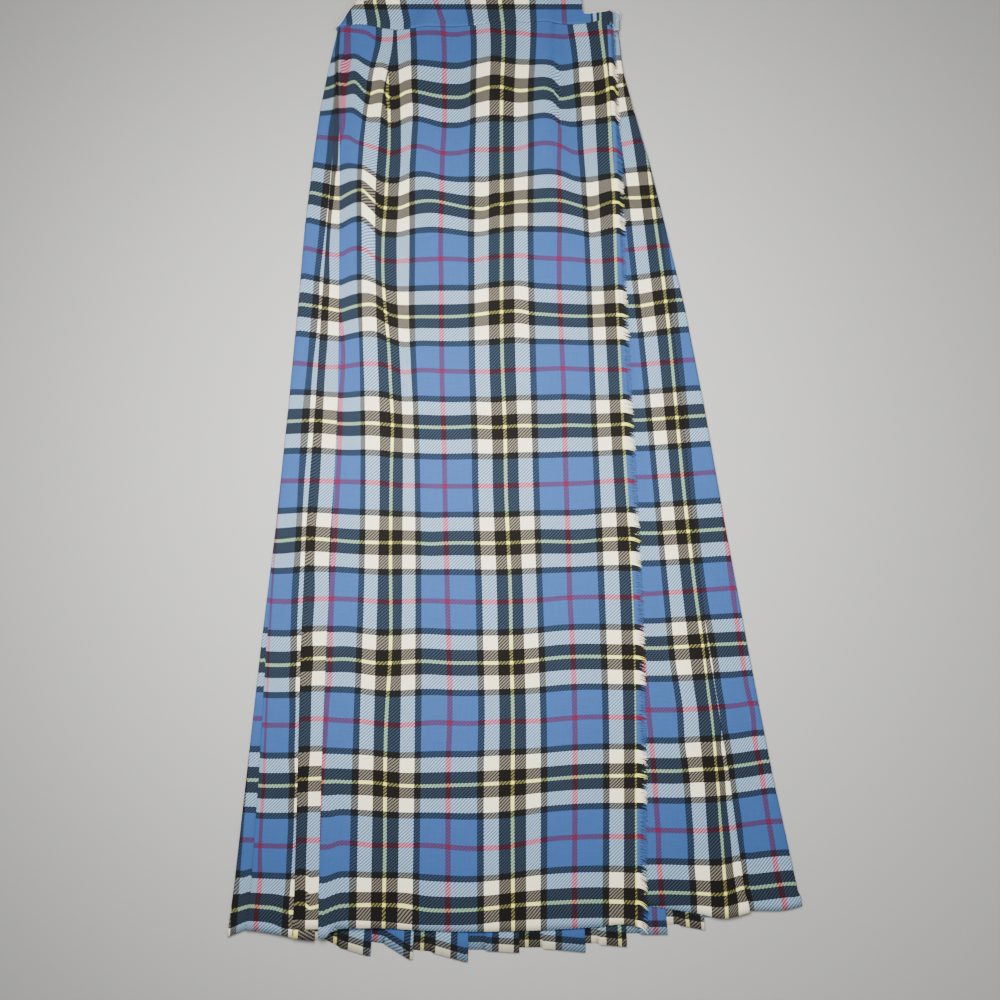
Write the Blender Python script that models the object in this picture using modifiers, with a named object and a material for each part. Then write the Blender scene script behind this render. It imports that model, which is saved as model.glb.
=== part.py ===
"""Long kilted wrap skirt in wool cloth, laid flat with its front up.

Metres, +Z up. X runs across the skirt, and Y from the hem up to the waist. The
skirt lies on the plane z = 0, and the origin is under the middle of its box.
"""
import math

import bmesh
import bpy
from mathutils import Vector

# ---- Cloth ----
WALL = 0.001            # the wool cloth
BAND_WALL = 0.0016      # the waistband, which is folded double
LAYER_GAP = 0.0004      # air between two layers of cloth
SEAM_GAP = 0.0003       # between two pieces at a seam
STEP = WALL + LAYER_GAP

# ---- Length ----
SEAM_Y = 0.5182         # waist seam
BAND_HEIGHT = 0.0419    # waistband
BAND_END_HEIGHT = 0.0118  # its low right end
BAND_TIP_HEIGHT = 0.0240  # and at the tip, which lies lower and drops less
BAND_END_X = 0.0825     # where the waistband steps down to that end
BAND_TAIL_X = 0.1275    # tip of that end, which lies past the apron's edge
BAND_TAIL_STEPS = ((0.0013, 0.0195), (0.006, 0.0155), (0.015, 0.0135), (0.024, 0.0118))
BAND_FALL = 0.010       # width over which it comes down from the apron there
BAND_LEFT_INSET = 0.029  # how far its top corners lie in from the seam's ends
BAND_RIGHT_INSET = 0.006
BAND_UNDER_X = (-0.150, -0.060, 0.030, 0.070, 0.080, 0.095)  # its inner end, under the apron
BAND_LOW_X = (0.070, 0.080)  # where the layers that the apron hides step down as well
BAND_START = 0.006      # where its upper run sets out, in from the left end
BAND_ROW_SHARES = (0.0, 0.33, 0.66, 1.0)
WAIST_LIFT = 0.0062     # the front's seam runs this much higher right of its left dart
WAIST_LIFT_X = (-0.135, -0.050)  # where it starts to climb, and where it has done so
WAIST_LIFT_Y = 0.440    # where the cloth below the seam starts to lift with it
HEM_Y = -0.535          # foot of the edge table

# ---- Layers, counted up from the surface that the skirt lies on ----
BACK_LEVEL = 0          # faces of the back pleats, with two more layers above them
SIDE_LEVEL = 3          # side pleats, once they have come round to the front
UNDER_LEVEL = 5         # under apron at its right fold
APRON_LEVEL = 9         # over apron at its left fold

# ---- Folds ----
SIDE_TUCK = 0.016       # how far the side pleats reach round under the back
TURN_UNDER = 0.028      # depth of the folds at the edges of the two aprons
FOLD_END = 0.002        # how far the turned edge of such a fold stops short of that depth
UNDER_LEVEL_END = 0.004  # how far past it the under apron stays level before it falls
UNDER_INNER_EDGE = 1.6  # inner edge of the under apron, in fold depths from the apron's fold
FOLD_POINTS = 3         # points round a fold between two layers
SIDE_POINTS = 5         # and round the thicker turn at each side
BAND_POINTS = 6         # and round the ends of the waistband
PLEAT_DEPTH = 0.85      # hidden depth of a side pleat, as a share of the face above it
LEAST_DEPTH = 0.012     # and at least this, near the waist
BACK_CLEARANCE = 0.0025  # from that tuck to the first and last back pleats
BACK_DEPTH = 0.60       # hidden depth of a back pleat, as a share of its width
RISER_FOOT = 0.0045     # where a back pleat starts to climb over the next one
RISER_HEAD = 0.0018     # and where it has done so

# ---- Over apron ----
APRON_COLUMNS = 30
APRON_MIDDLE_Z = 0.0070  # middle of the over apron, lying on the under apron
APRON_RIGHT_Z = 0.0098  # where it lies on the raised right side of the under apron
LEFT_FALL = 0.060       # width over which it comes down from the left fold
RIGHT_RISE = 0.030      # width over which it climbs at the right
UNDER_FALL = 0.018      # width over which the under apron comes down from its fold
UNDER_FALL_STEPS = (0.0, 0.25, 0.5, 0.75, 1.0)
UNDER_FLAT_STEPS = (0.25, 0.5, 0.75, 1.0)

# ---- Fringe along the free edge of the over apron ----
FRINGE_STRANDS = 140
STRIP_WIDTH = 0.0020
STRAND_REACH = 0.0105   # across
STRAND_DROOP = 0.0060   # towards the hem
STRAND_FALL = 0.0010    # least height of a tip above the cloth below it
STRAND_TIP = 0.45       # size of a strand's tip, as a share of its root
STRAND_LENGTHS = ((0.45, 0.30), (0.55, 0.70))  # shares of the reach and the droop, by length
FACES_RIGHT = 0.7       # least X of the normal of a face that strands grow from
FRINGE_TOP = 0.5100     # uppermost strand

# Folds and edges, from the waist seam down to the hem. All are outer faces in X.
EDGE_COLUMNS = (
    "y", "left", "far_fold", "near_fold", "apron_fold", "apron_edge", "side_fold", "right",
)
EDGES = (
    (0.5185, -0.2145, -0.2128, -0.2107, -0.2085, 0.1136, 0.1262, 0.1275),
    (0.4700, -0.2245, -0.2228, -0.2135, -0.2100, 0.1155, 0.1305, 0.1320),
    (0.4200, -0.2335, -0.2318, -0.2140, -0.2085, 0.1175, 0.1430, 0.1448),
    (0.3600, -0.2405, -0.2388, -0.2155, -0.2065, 0.1200, 0.1585, 0.1612),
    (0.2800, -0.2486, -0.2469, -0.2206, -0.2055, 0.1226, 0.1722, 0.1790),
    (0.1800, -0.2549, -0.2532, -0.2252, -0.2045, 0.1244, 0.1834, 0.2006),
    (0.0600, -0.2636, -0.2619, -0.2305, -0.2038, 0.1289, 0.1945, 0.2214),
    (-0.0800, -0.2750, -0.2733, -0.2382, -0.2079, 0.1349, 0.2046, 0.2427),
    (-0.2200, -0.2889, -0.2815, -0.2417, -0.2124, 0.1392, 0.2192, 0.2654),
    (-0.3600, -0.3013, -0.2862, -0.2422, -0.2152, 0.1388, 0.2397, 0.2893),
    (-0.4800, -0.3120, -0.2922, -0.2430, -0.2156, 0.1375, 0.2532, 0.3128),
    (-0.5350, -0.3180, -0.2964, -0.2443, -0.2156, 0.1375, 0.2590, 0.3181),
)

# The hem of each piece: x, y.
HEMS = {
    "over_apron": (
        (-0.213, -0.5312), (-0.2055, -0.5300), (-0.2024, -0.5241), (-0.1861, -0.5206),
        (-0.168, -0.5211), (-0.127, -0.5241), (-0.083, -0.5265), (-0.017, -0.5265),
        (0.049, -0.5243), (0.093, -0.5215), (0.1205, -0.5190), (0.1375, -0.5220),
    ),
    "under_apron": (
        (-0.16, -0.5100), (0.204, -0.5088), (0.221, -0.5125), (0.234, -0.5125),
        (0.259, -0.5061),
    ),
    "left_pleats": (
        (-0.318, -0.5340), (-0.310, -0.5307), (-0.296, -0.5254), (-0.275, -0.5273),
        (-0.257, -0.5304), (-0.2415, -0.5336), (-0.2340, -0.5344), (-0.2270, -0.5380),
        (-0.218, -0.5340), (-0.200, -0.5335),
    ),
    "near_pleat": ((-0.2440, -0.5230), (-0.2000, -0.5225)),
    "right_pleat": ((0.220, -0.5080), (0.265, -0.5056), (0.303, -0.5042), (0.318, -0.4999)),
}

# Back pleats from left to right, at the hem. The columns are the x of the inner fold, and
# the y of the hem where the pleat comes out, at the head of its riser, and at that fold.
BACK_PLEATS = (
    (-0.2620, -0.5250, -0.5280, -0.5290),
    (-0.2120, -0.5290, -0.5330, -0.5370),
    (-0.1595, -0.5375, -0.5455, -0.5540),
    (-0.1130, -0.5405, -0.5425, -0.5580),
    (-0.0520, -0.5490, -0.5510, -0.5606),
    (0.0045, -0.5492, -0.5492, -0.5508),
    (0.0777, -0.5466, -0.5466, -0.5503),
    (0.1235, -0.5423, -0.5423, -0.5444),
    (0.1686, -0.5317, -0.5317, -0.5317),
    (0.2102, -0.5222, -0.5222, -0.5264),
    (0.2480, -0.5147, -0.5147, -0.5121),
)
BACK_HIDE = 0.003         # how much higher the hidden layers of a back pleat end
BACK_RIGHT_HEM = -0.4950  # the back's hem at its right end, under the side pleat

# Soft ridges of the over apron, which run down from the waist. The columns are x at the
# waist, x where the ridge fades out, y there, half width, and height at the waist.
RIDGES = (
    (-0.185, -0.180, 0.020, 0.020, 0.0050),
    (-0.108, -0.112, 0.130, 0.022, 0.0060),
    (-0.010, -0.014, 0.100, 0.028, 0.0100),
    (0.038, 0.044, 0.140, 0.020, 0.0080),
    (0.112, 0.118, 0.160, 0.020, 0.0090),
)

# Rows of each piece, by y. The panels stop a seam gap below the waist seam, and the
# waistband starts as far above it.
TOP_Y = SEAM_Y - SEAM_GAP
PANEL_ROWS = sorted([TOP_Y] + [row[0] for row in EDGES[1:]])
BACK_ROWS = [HEM_Y, -0.48, -0.22, 0.06, 0.18, 0.28, 0.42, 0.47, TOP_Y]
APRON_ROWS = [HEM_Y, -0.48, -0.36, -0.22, -0.08, 0.0, 0.06, 0.12, 0.16, 0.20, 0.24, 0.28]
APRON_ROWS += [0.31, 0.34, 0.37, 0.40, 0.42, 0.44, 0.46, 0.48, 0.50, TOP_Y]

CLOTH_COLOUR = (0.115, 0.185, 0.270, 1.0)
BAND_COLOUR = (0.130, 0.210, 0.310, 1.0)
FRINGE_COLOUR = (0.150, 0.160, 0.150, 1.0)
CLOTH_ROUGHNESS = 0.9


def level(number):
    """Height of the middle of a layer."""
    return WALL / 2 + number * STEP


def along(points, value):
    """Read a value from (place, value) points, straight between them."""
    points = sorted(points)
    if value <= points[0][0]:
        return points[0][1]
    for (start, low), (end, high) in zip(points, points[1:]):
        if value <= end:
            return low + (high - low) * (value - start) / (end - start)
    return points[-1][1]


def waist_lift(x, y):
    """How much further up the front's cloth lies, since its seam isn't level."""
    start, end = WAIST_LIFT_X
    lift = WAIST_LIFT * smooth((x - start) / (end - start))
    if y > SEAM_Y:
        return lift * max(0.0, 1 - (y - SEAM_Y) / BAND_HEIGHT)
    return lift * smooth((y - WAIST_LIFT_Y) / (SEAM_Y - WAIST_LIFT_Y))


def lifted(rows):
    """The rows of a front piece, with its waist where the seam runs."""
    return [[Vector((point.x, point.y + waist_lift(point.x, point.y), point.z))
             for point in row] for row in rows]


def edge(name, y):
    """X of a fold or an edge at a height y of the skirt."""
    column = EDGE_COLUMNS.index(name)
    return along([(row[0], row[column]) for row in EDGES], y)


def smooth(value):
    """A step from 0 to 1 with soft ends."""
    value = min(max(value, 0.0), 1.0)
    return value * value * (3 - 2 * value)


def fold(x, low, high, side, count=FOLD_POINTS):
    """Points round a fold from one height to another; side is -1 where it faces left."""
    radius = abs(high - low) / 2
    middle = (high + low) / 2
    points = []
    for number in range(count):
        angle = math.pi * (number / (count - 1) - 0.5)
        depth = radius * (1 - math.cos(angle))
        points.append((x - side * (WALL / 2 + depth), middle + (high - low) / 2 * math.sin(angle)))
    return points


# ---- Sections of each piece, as (x, z) along the cloth at one y ----

def left_pleats_section(y):
    """From under the back, round the left side, and through two knife pleats."""
    left = edge("left", y)
    far = edge("far_fold", y)
    near = edge("near_fold", y)
    apron = edge("apron_fold", y)
    far_depth = max(PLEAT_DEPTH * (near - far), LEAST_DEPTH)
    near_depth = max(PLEAT_DEPTH * (apron - near), LEAST_DEPTH)
    base = SIDE_LEVEL
    section = [(left + SIDE_TUCK, level(BACK_LEVEL))]
    section += fold(left, level(BACK_LEVEL), level(base), -1, SIDE_POINTS)
    section += fold(far + far_depth, level(base), level(base + 1), 1)
    section += fold(far, level(base + 1), level(base + 2), -1)
    section += fold(near + near_depth, level(base + 2), level(base + 3), 1)
    section += fold(near, level(base + 3), level(base + 4), -1)
    section.append((apron + TURN_UNDER, level(base + 4)))
    return section


def right_pleat_section(y):
    """From under the back, round the right side, and in under the under apron."""
    right = edge("right", y)
    inner = edge("side_fold", y) - TURN_UNDER
    section = [(right - SIDE_TUCK, level(BACK_LEVEL))]
    section += fold(right, level(BACK_LEVEL), level(SIDE_LEVEL), 1, SIDE_POINTS)
    section.append((inner, level(SIDE_LEVEL)))
    return section


def under_height(x, y):
    """Height of the under apron's cloth."""
    start = edge("side_fold", y) - TURN_UNDER - UNDER_LEVEL_END
    share = smooth((start - x) / UNDER_FALL)
    return level(UNDER_LEVEL) + (level(SIDE_LEVEL) - level(UNDER_LEVEL)) * share


def under_apron_section(y):
    """A fold at the right, and the panel that runs left on the back pleats."""
    side = edge("side_fold", y)
    start = side - TURN_UNDER - UNDER_LEVEL_END
    inner = edge("apron_fold", y) + UNDER_INNER_EDGE * TURN_UNDER
    section = [(side - TURN_UNDER + FOLD_END, level(UNDER_LEVEL - 1))]
    section += fold(side, level(UNDER_LEVEL - 1), level(UNDER_LEVEL), 1)
    section += [(start - UNDER_FALL * part, under_height(start - UNDER_FALL * part, y))
                for part in UNDER_FALL_STEPS]
    middle = start - UNDER_FALL
    section += [(middle + (inner - middle) * part, level(SIDE_LEVEL))
                for part in UNDER_FLAT_STEPS]
    return section


def ridge_height(x, y):
    """Height that the soft ridges add to the over apron."""
    total = 0.0
    for waist_x, foot_x, foot_y, half_width, height in RIDGES:
        share = (y - foot_y) / (SEAM_Y - foot_y)
        if share <= 0:
            continue
        middle = foot_x + (waist_x - foot_x) * share
        offset = (x - middle) / half_width
        total += height * smooth(share) * math.exp(-offset * offset)
    return total


def apron_height(x, y):
    """Height of the over apron's cloth."""
    from_left = x - (edge("apron_fold", y) + TURN_UNDER)
    fall = smooth(from_left / LEFT_FALL)
    height = level(APRON_LEVEL) + (APRON_MIDDLE_Z - level(APRON_LEVEL)) * fall
    from_right = edge("side_fold", y) - TURN_UNDER - UNDER_FALL - RIGHT_RISE - x
    rise = 1 - smooth((from_right + RIGHT_RISE) / RIGHT_RISE)
    height += (APRON_RIGHT_Z - APRON_MIDDLE_Z) * rise
    return height + ridge_height(x, y)


def over_apron_section(y):
    """A turned fold at the left, and the face of the apron up to its fringe."""
    left = edge("apron_fold", y)
    right = edge("apron_edge", y)
    section = [(left + TURN_UNDER - FOLD_END, level(APRON_LEVEL - 1))]
    folded = fold(left, level(APRON_LEVEL - 1), level(APRON_LEVEL), -1)
    lift = ridge_height(left, y)
    section += [(x, z + lift * (z - folded[0][1]) / STEP) for x, z in folded]
    start = folded[-1][0]
    for number in range(1, APRON_COLUMNS + 1):
        x = start + (right - start) * number / APRON_COLUMNS
        section.append((x, apron_height(x, y)))
    return section


def back_section(y):
    """The back, seen from inside: knife pleats whose faces lie on the surface."""
    inset = SIDE_TUCK + BACK_CLEARANCE
    left_hem = edge("left", HEM_Y) + inset
    width_hem = edge("right", HEM_Y) - inset - left_hem
    left = edge("left", y) + inset
    scale = (edge("right", y) - inset - left) / width_hem
    floor, middle, top = (level(BACK_LEVEL + number) for number in range(3))
    section, inner_fold = [], left
    for fold_x, *_ in BACK_PLEATS:
        start = inner_fold
        inner_fold = left + (fold_x - left_hem) * scale
        outer_fold = inner_fold - BACK_DEPTH * (inner_fold - start)
        section += [(start, floor), (outer_fold - RISER_FOOT, floor),
                    (outer_fold - RISER_HEAD, top)]
        section += fold(inner_fold, top, middle, 1)
        section += fold(outer_fold, middle, floor, -1)
    section.append((edge("right", y) - inset, floor))
    return section


def back_hem(section):
    """Y of the back's hem for each point of its section: each pleat is a step."""
    places = []
    for _, start_y, head_y, fold_y in BACK_PLEATS:
        places += [start_y, head_y, head_y] + [fold_y] * FOLD_POINTS
        places += [head_y + BACK_HIDE] * FOLD_POINTS
    places.append(BACK_RIGHT_HEM)
    assert len(places) == len(section)
    return places


def rows_of(section_at, heights, hem):
    """Rows of points from the hem to the waist; hem gives the y of the first row."""
    rows = []
    for number, y in enumerate(heights):
        section = section_at(y)
        places = hem(section) if number == 0 else [y] * len(section)
        rows.append([Vector((x, place, z)) for (x, z), place in zip(section, places)])
    return rows


def hem_of(name):
    """The hem of a piece, as a function that rows_of can use."""
    return lambda section: [along(HEMS[name], x) for x, z in section]


def left_pleats_hem(section):
    """The hem of the left pleats; the face of the nearer one is shorter than the rest."""
    places = hem_of("left_pleats")(section)
    face = 1 + FOLD_POINTS // 2
    return places[:-face] + hem_of("near_pleat")(section[-face:])


# ---- Meshes ----

def finish_mesh(name, shape, material):
    """Make an object from a bmesh."""
    mesh = bpy.data.meshes.new(name)
    shape.to_mesh(mesh)
    shape.free()
    mesh.materials.append(material)
    piece = bpy.data.objects.new(name, mesh)
    collection.objects.link(piece)
    return piece


def make_cloth(name, rows, wall, material):
    """A wall of cloth: a grid laid through rows of points, with its thickness."""
    shape = bmesh.new()
    bmesh.ops.create_grid(shape, x_segments=len(rows[0]) - 1, y_segments=len(rows) - 1, size=1.0)
    vertices = sorted(shape.verts, key=lambda vertex: (round(vertex.co.y, 5), vertex.co.x))
    places = [place for row in rows for place in row]
    assert len(vertices) == len(places)
    for vertex, place in zip(vertices, places):
        vertex.co = place
    piece = finish_mesh(name, shape, material)
    solidify = piece.modifiers.new("thickness", "SOLIDIFY")
    solidify.thickness = wall
    solidify.offset = 0.0
    solidify.use_even_offset = True
    solidify.use_quality_normals = True
    return piece


def band_tail_height(x, inner_z):
    """Height of the low end of the waistband, which comes down past the apron's edge."""
    end = edge("apron_edge", SEAM_Y)
    start_z = apron_height(min(x, end), SEAM_Y)
    rest_z = inner_z + BAND_WALL + LAYER_GAP
    return start_z + (rest_z - start_z) * smooth((x - end) / BAND_FALL)


def band_sections():
    """Rows of the waistband: one strip that winds under, round the back and over."""
    lower_y = SEAM_Y + SEAM_GAP
    low = BAND_WALL / 2
    left = edge("left", SEAM_Y)
    right = edge("right", SEAM_Y)
    inner_z = level(SIDE_LEVEL + 1)
    under = [(x, min(under_height(x, SEAM_Y), inner_z)) for x in BAND_UNDER_X]
    turn = fold(right - (BAND_WALL - WALL) / 2, inner_z, low, 1, BAND_POINTS)
    start_z = apron_height(left + BAND_START, SEAM_Y)
    wrap = fold(left + (BAND_WALL - WALL) / 2, low, start_z, -1, BAND_POINTS)
    first = wrap[-1][0]
    over = [first + (BAND_END_X - first) * number / APRON_COLUMNS
            for number in range(1, APRON_COLUMNS + 1)]
    tail = [(BAND_END_X + step, tall) for step, tall in BAND_TAIL_STEPS]
    rise = BAND_TIP_HEIGHT - BAND_END_HEIGHT
    tail += [(edge("apron_edge", SEAM_Y) + BAND_FALL * share,
              BAND_END_HEIGHT + rise * smooth(share)) for share in UNDER_FALL_STEPS]
    tail.append((BAND_TAIL_X, BAND_TIP_HEIGHT))
    back = [(x, low) for x in reversed(BAND_LOW_X)]
    section = [(x, z, BAND_HEIGHT if x <= BAND_LOW_X[0] else BAND_END_HEIGHT)
               for x, z in under + turn + back + wrap]
    section += [(x, apron_height(x, SEAM_Y), BAND_HEIGHT) for x in over]
    section += [(x, band_tail_height(x, inner_z), tall) for x, tall in tail]
    narrowing = 1 - (BAND_LEFT_INSET + BAND_RIGHT_INSET) / (right - left)
    rows = []
    for share in BAND_ROW_SHARES:
        row = []
        for x, z, tall in section:
            top_x = left + BAND_LEFT_INSET + (x - left) * narrowing
            up = share * (tall - SEAM_GAP)
            stay = 1.0
            if z > inner_z:
                stay -= smooth((x - edge("apron_edge", SEAM_Y)) / BAND_FALL)
            place = Vector((x + (top_x - x) * up / BAND_HEIGHT * stay, lower_y + up, z))
            if z > inner_z:
                place.y += waist_lift(place.x, place.y) * stay
            row.append(place)
        rows.append(row)
    return rows


def strand_floor(x, y):
    """Top of the cloth that lies under the fringe."""
    return under_height(x, y) + WALL / 2


def make_fringe(name, material):
    """A narrow strip along the free edge of the apron, with strands that lean to the hem."""
    low_y = along(HEMS["over_apron"], edge("apron_edge", HEM_Y))
    pitch = (FRINGE_TOP - low_y) / FRINGE_STRANDS
    shape = bmesh.new()
    bmesh.ops.create_grid(shape, x_segments=1, y_segments=2 * FRINGE_STRANDS, size=1.0)
    vertices = sorted(shape.verts, key=lambda vertex: (round(vertex.co.y, 5), vertex.co.x))
    for number, vertex in enumerate(vertices):
        row, column = divmod(number, 2)
        y = low_y + pitch * row / 2
        x = edge("apron_edge", y) + SEAM_GAP + column * STRIP_WIDTH
        vertex.co = Vector((x, y, apron_height(x, y) + WALL / 2))
    sheet = list(shape.faces)
    wall = bmesh.ops.extrude_face_region(shape, geom=sheet, use_keep_orig=True)
    lower = [item for item in wall["geom"] if isinstance(item, bmesh.types.BMVert)]
    bmesh.ops.translate(shape, verts=lower, vec=(0, 0, -WALL))
    bmesh.ops.recalc_face_normals(shape, faces=list(shape.faces))
    roots = [face for face in shape.faces if face.normal.x > FACES_RIGHT]
    roots.sort(key=lambda face: face.calc_center_median().y)
    roots = roots[0::2]
    for reach, droop in STRAND_LENGTHS:
        grown = bmesh.ops.extrude_discrete_faces(shape, faces=roots)
        roots = grown["faces"]
        for root in roots:
            middle = root.calc_center_median()
            size = 1 - (1 - STRAND_TIP) * droop
            x = middle.x + STRAND_REACH * reach
            y = middle.y - STRAND_DROOP * droop
            floor = strand_floor(x, y) + STRAND_FALL
            z = max(floor, middle.z + (floor - middle.z) * droop)
            for vertex in root.verts:
                vertex.co = Vector((x, y, z)) + (vertex.co - middle) * size
    for vertex in shape.verts:
        vertex.co.y += waist_lift(vertex.co.x, vertex.co.y)
    return finish_mesh(name, shape, material)


def cloth_material(name, colour):
    """Plain wool of one colour."""
    material = bpy.data.materials.new(name)
    material.use_nodes = True
    shader = material.node_tree.nodes["Principled BSDF"]
    shader.inputs["Base Color"].default_value = colour
    shader.inputs["Roughness"].default_value = CLOTH_ROUGHNESS
    shader.inputs["Metallic"].default_value = 0.0
    return material


for old in list(bpy.data.objects):
    bpy.data.objects.remove(old, do_unlink=True)
collection = bpy.data.collections.new("kilt")
bpy.context.scene.collection.children.link(collection)

wool = cloth_material("wool_cloth", CLOTH_COLOUR)
band_wool = cloth_material("wool_waistband", BAND_COLOUR)
loose_wool = cloth_material("wool_fringe", FRINGE_COLOUR)

make_cloth("back_pleats", rows_of(back_section, BACK_ROWS, back_hem), WALL, wool)
make_cloth("left_pleats", rows_of(left_pleats_section, PANEL_ROWS, left_pleats_hem), WALL, wool)
make_cloth("right_pleat", rows_of(right_pleat_section, PANEL_ROWS, hem_of("right_pleat")),
           WALL, wool)
make_cloth("under_apron", rows_of(under_apron_section, PANEL_ROWS, hem_of("under_apron")),
           WALL, wool)
make_cloth("over_apron",
           lifted(rows_of(over_apron_section, APRON_ROWS, hem_of("over_apron"))), WALL, wool)
make_cloth("waistband", band_sections(), BAND_WALL, band_wool)
make_fringe("apron_fringe", loose_wool)
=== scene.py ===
# %% [markdown]
# # A long kilted wrap skirt in wool tartan, laid flat
# The skirt is one long stretch of checked wool. It starts as a flat under apron, runs
# through knife pleats round the back, comes forward again through two more pleats at the
# left, and ends as a flat over apron with a fringed edge. A waistband holds all of it.
# Here it lies on its back, so every piece is a thin sheet that rests on the piece below.
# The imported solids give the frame: each sheet below follows one of them and adds what a
# simple solid can't have, such as the woven check, the soft folds and the loose fringe.

# %% Load the frame
import math

import bmesh
import bpy
import numpy as np
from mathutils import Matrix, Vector, noise


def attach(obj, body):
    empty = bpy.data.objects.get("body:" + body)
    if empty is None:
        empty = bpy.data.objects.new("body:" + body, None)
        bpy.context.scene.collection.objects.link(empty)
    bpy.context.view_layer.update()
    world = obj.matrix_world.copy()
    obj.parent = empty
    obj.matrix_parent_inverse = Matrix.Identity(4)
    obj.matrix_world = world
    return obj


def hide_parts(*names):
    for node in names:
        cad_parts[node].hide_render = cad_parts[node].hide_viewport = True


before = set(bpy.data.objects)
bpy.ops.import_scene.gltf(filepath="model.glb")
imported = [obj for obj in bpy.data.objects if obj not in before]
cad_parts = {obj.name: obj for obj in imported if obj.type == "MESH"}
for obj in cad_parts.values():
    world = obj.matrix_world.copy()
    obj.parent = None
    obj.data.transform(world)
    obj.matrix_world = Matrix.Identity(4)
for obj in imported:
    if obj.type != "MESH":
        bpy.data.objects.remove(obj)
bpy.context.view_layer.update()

# %% [markdown]
# ## The camera
# The camera hangs above the skirt, a little below its middle, and leans slightly towards
# the waist. It comes first, because the lines of the check were charted along its view.

# %% Camera
CAMERA_PLACE = Vector((-0.01664, -0.11839, 0.867))
CAMERA_TILT = math.radians(4.5)
camera = bpy.data.objects.new("camera", bpy.data.cameras.new("camera"))
camera.location = CAMERA_PLACE
camera.rotation_euler = (CAMERA_TILT, 0.0, 0.0)
camera.data.lens = 27.0
camera.data.sensor_width = 36.0
camera.data.clip_start = 0.01
bpy.context.scene.collection.objects.link(camera)
bpy.context.scene.camera = camera
print("camera at", tuple(round(value, 3) for value in CAMERA_PLACE))

# %% [markdown]
# ## Sizes of the skirt
# These are the sizes that the solids were made from, in metres: the wall of the cloth, the
# height of each layer, and a table of where every fold and edge runs from waist to hem. X
# goes from the skirt's left to its right as it is seen, Y up to the waist, Z off the floor.

# %% Sizes and layers
WALL = 0.001
BAND_WALL = 0.0016            # the waistband is folded double
LAYER_GAP = 0.0004
SEAM_GAP = 0.0003             # between the panels' top and the waistband
STEP = WALL + LAYER_GAP
SEAM_Y = 0.5182
TOP_Y = SEAM_Y - SEAM_GAP
HEM_Y = -0.535                # of a section, before its own hem is laid in
BACK_LEVEL = 0                # levels count the layers from the floor
SIDE_LEVEL = 3
UNDER_LEVEL = 5
APRON_LEVEL = 9
SIDE_TUCK = 0.016             # how far a side's cloth goes in under the back
TURN_UNDER = 0.028            # how far an apron's folded edge goes in
FOLD_END = 0.002
BAND_HEIGHT = 0.0419
print("a layer and its gap are", round(STEP * 1000, 1), "mm high")

# %% Folds and edges
EDGE_COLUMNS = (
    "y", "left", "far_fold", "near_fold", "apron_fold", "apron_edge", "side_fold", "right",
)
EDGES = (
    (0.5185, -0.2145, -0.2128, -0.2107, -0.2085, 0.1136, 0.1262, 0.1275),
    (0.4700, -0.2245, -0.2228, -0.2135, -0.2100, 0.1155, 0.1305, 0.1320),
    (0.4200, -0.2335, -0.2318, -0.2140, -0.2085, 0.1175, 0.1430, 0.1448),
    (0.3600, -0.2405, -0.2388, -0.2155, -0.2065, 0.1200, 0.1585, 0.1612),
    (0.2800, -0.2486, -0.2469, -0.2206, -0.2055, 0.1226, 0.1722, 0.1790),
    (0.1800, -0.2549, -0.2532, -0.2252, -0.2045, 0.1244, 0.1834, 0.2006),
    (0.0600, -0.2636, -0.2619, -0.2305, -0.2038, 0.1289, 0.1945, 0.2214),
    (-0.0800, -0.2750, -0.2733, -0.2382, -0.2079, 0.1349, 0.2046, 0.2427),
    (-0.2200, -0.2889, -0.2815, -0.2417, -0.2124, 0.1392, 0.2192, 0.2654),
    (-0.3600, -0.3013, -0.2862, -0.2422, -0.2152, 0.1388, 0.2397, 0.2893),
    (-0.4800, -0.3120, -0.2922, -0.2430, -0.2156, 0.1375, 0.2532, 0.3128),
    (-0.5350, -0.3180, -0.2964, -0.2443, -0.2156, 0.1375, 0.2590, 0.3181),
)


def level(number):
    """Height of the middle of a layer."""
    return WALL / 2 + number * STEP


def along(points, value):
    """Read a value from (place, value) points, straight between them."""
    places, values = zip(*sorted(points))
    return float(np.interp(value, places, values))


def edge(name, y):
    """X of a fold or an edge at a height y of the skirt."""
    column = EDGE_COLUMNS.index(name)
    return along([(row[0], row[column]) for row in EDGES], y)


def smooth(value):
    """A step from 0 to 1 with soft ends."""
    value = min(max(value, 0.0), 1.0)
    return value * value * (3 - 2 * value)


print("skirt is", round(1000 * (SEAM_Y - HEM_Y)), "mm from seam to hem")

# %% [markdown]
# ## Where the lines of the check run
# On flat cloth a check is a plain grid. On a worn and washed skirt it wanders: darts cut
# threads out near the waist, and the fullness below them makes the cross lines wave. A
# shader can't know that, so each face gets a short chart. A warp line is a place in the
# check, in millimetres, and points (y, x) that it runs through; a weft line is a number of
# repeats above the lowest yellow line, and points (x, y). All are in millimetres on the
# floor, as seen past the cloth from the camera.

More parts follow.
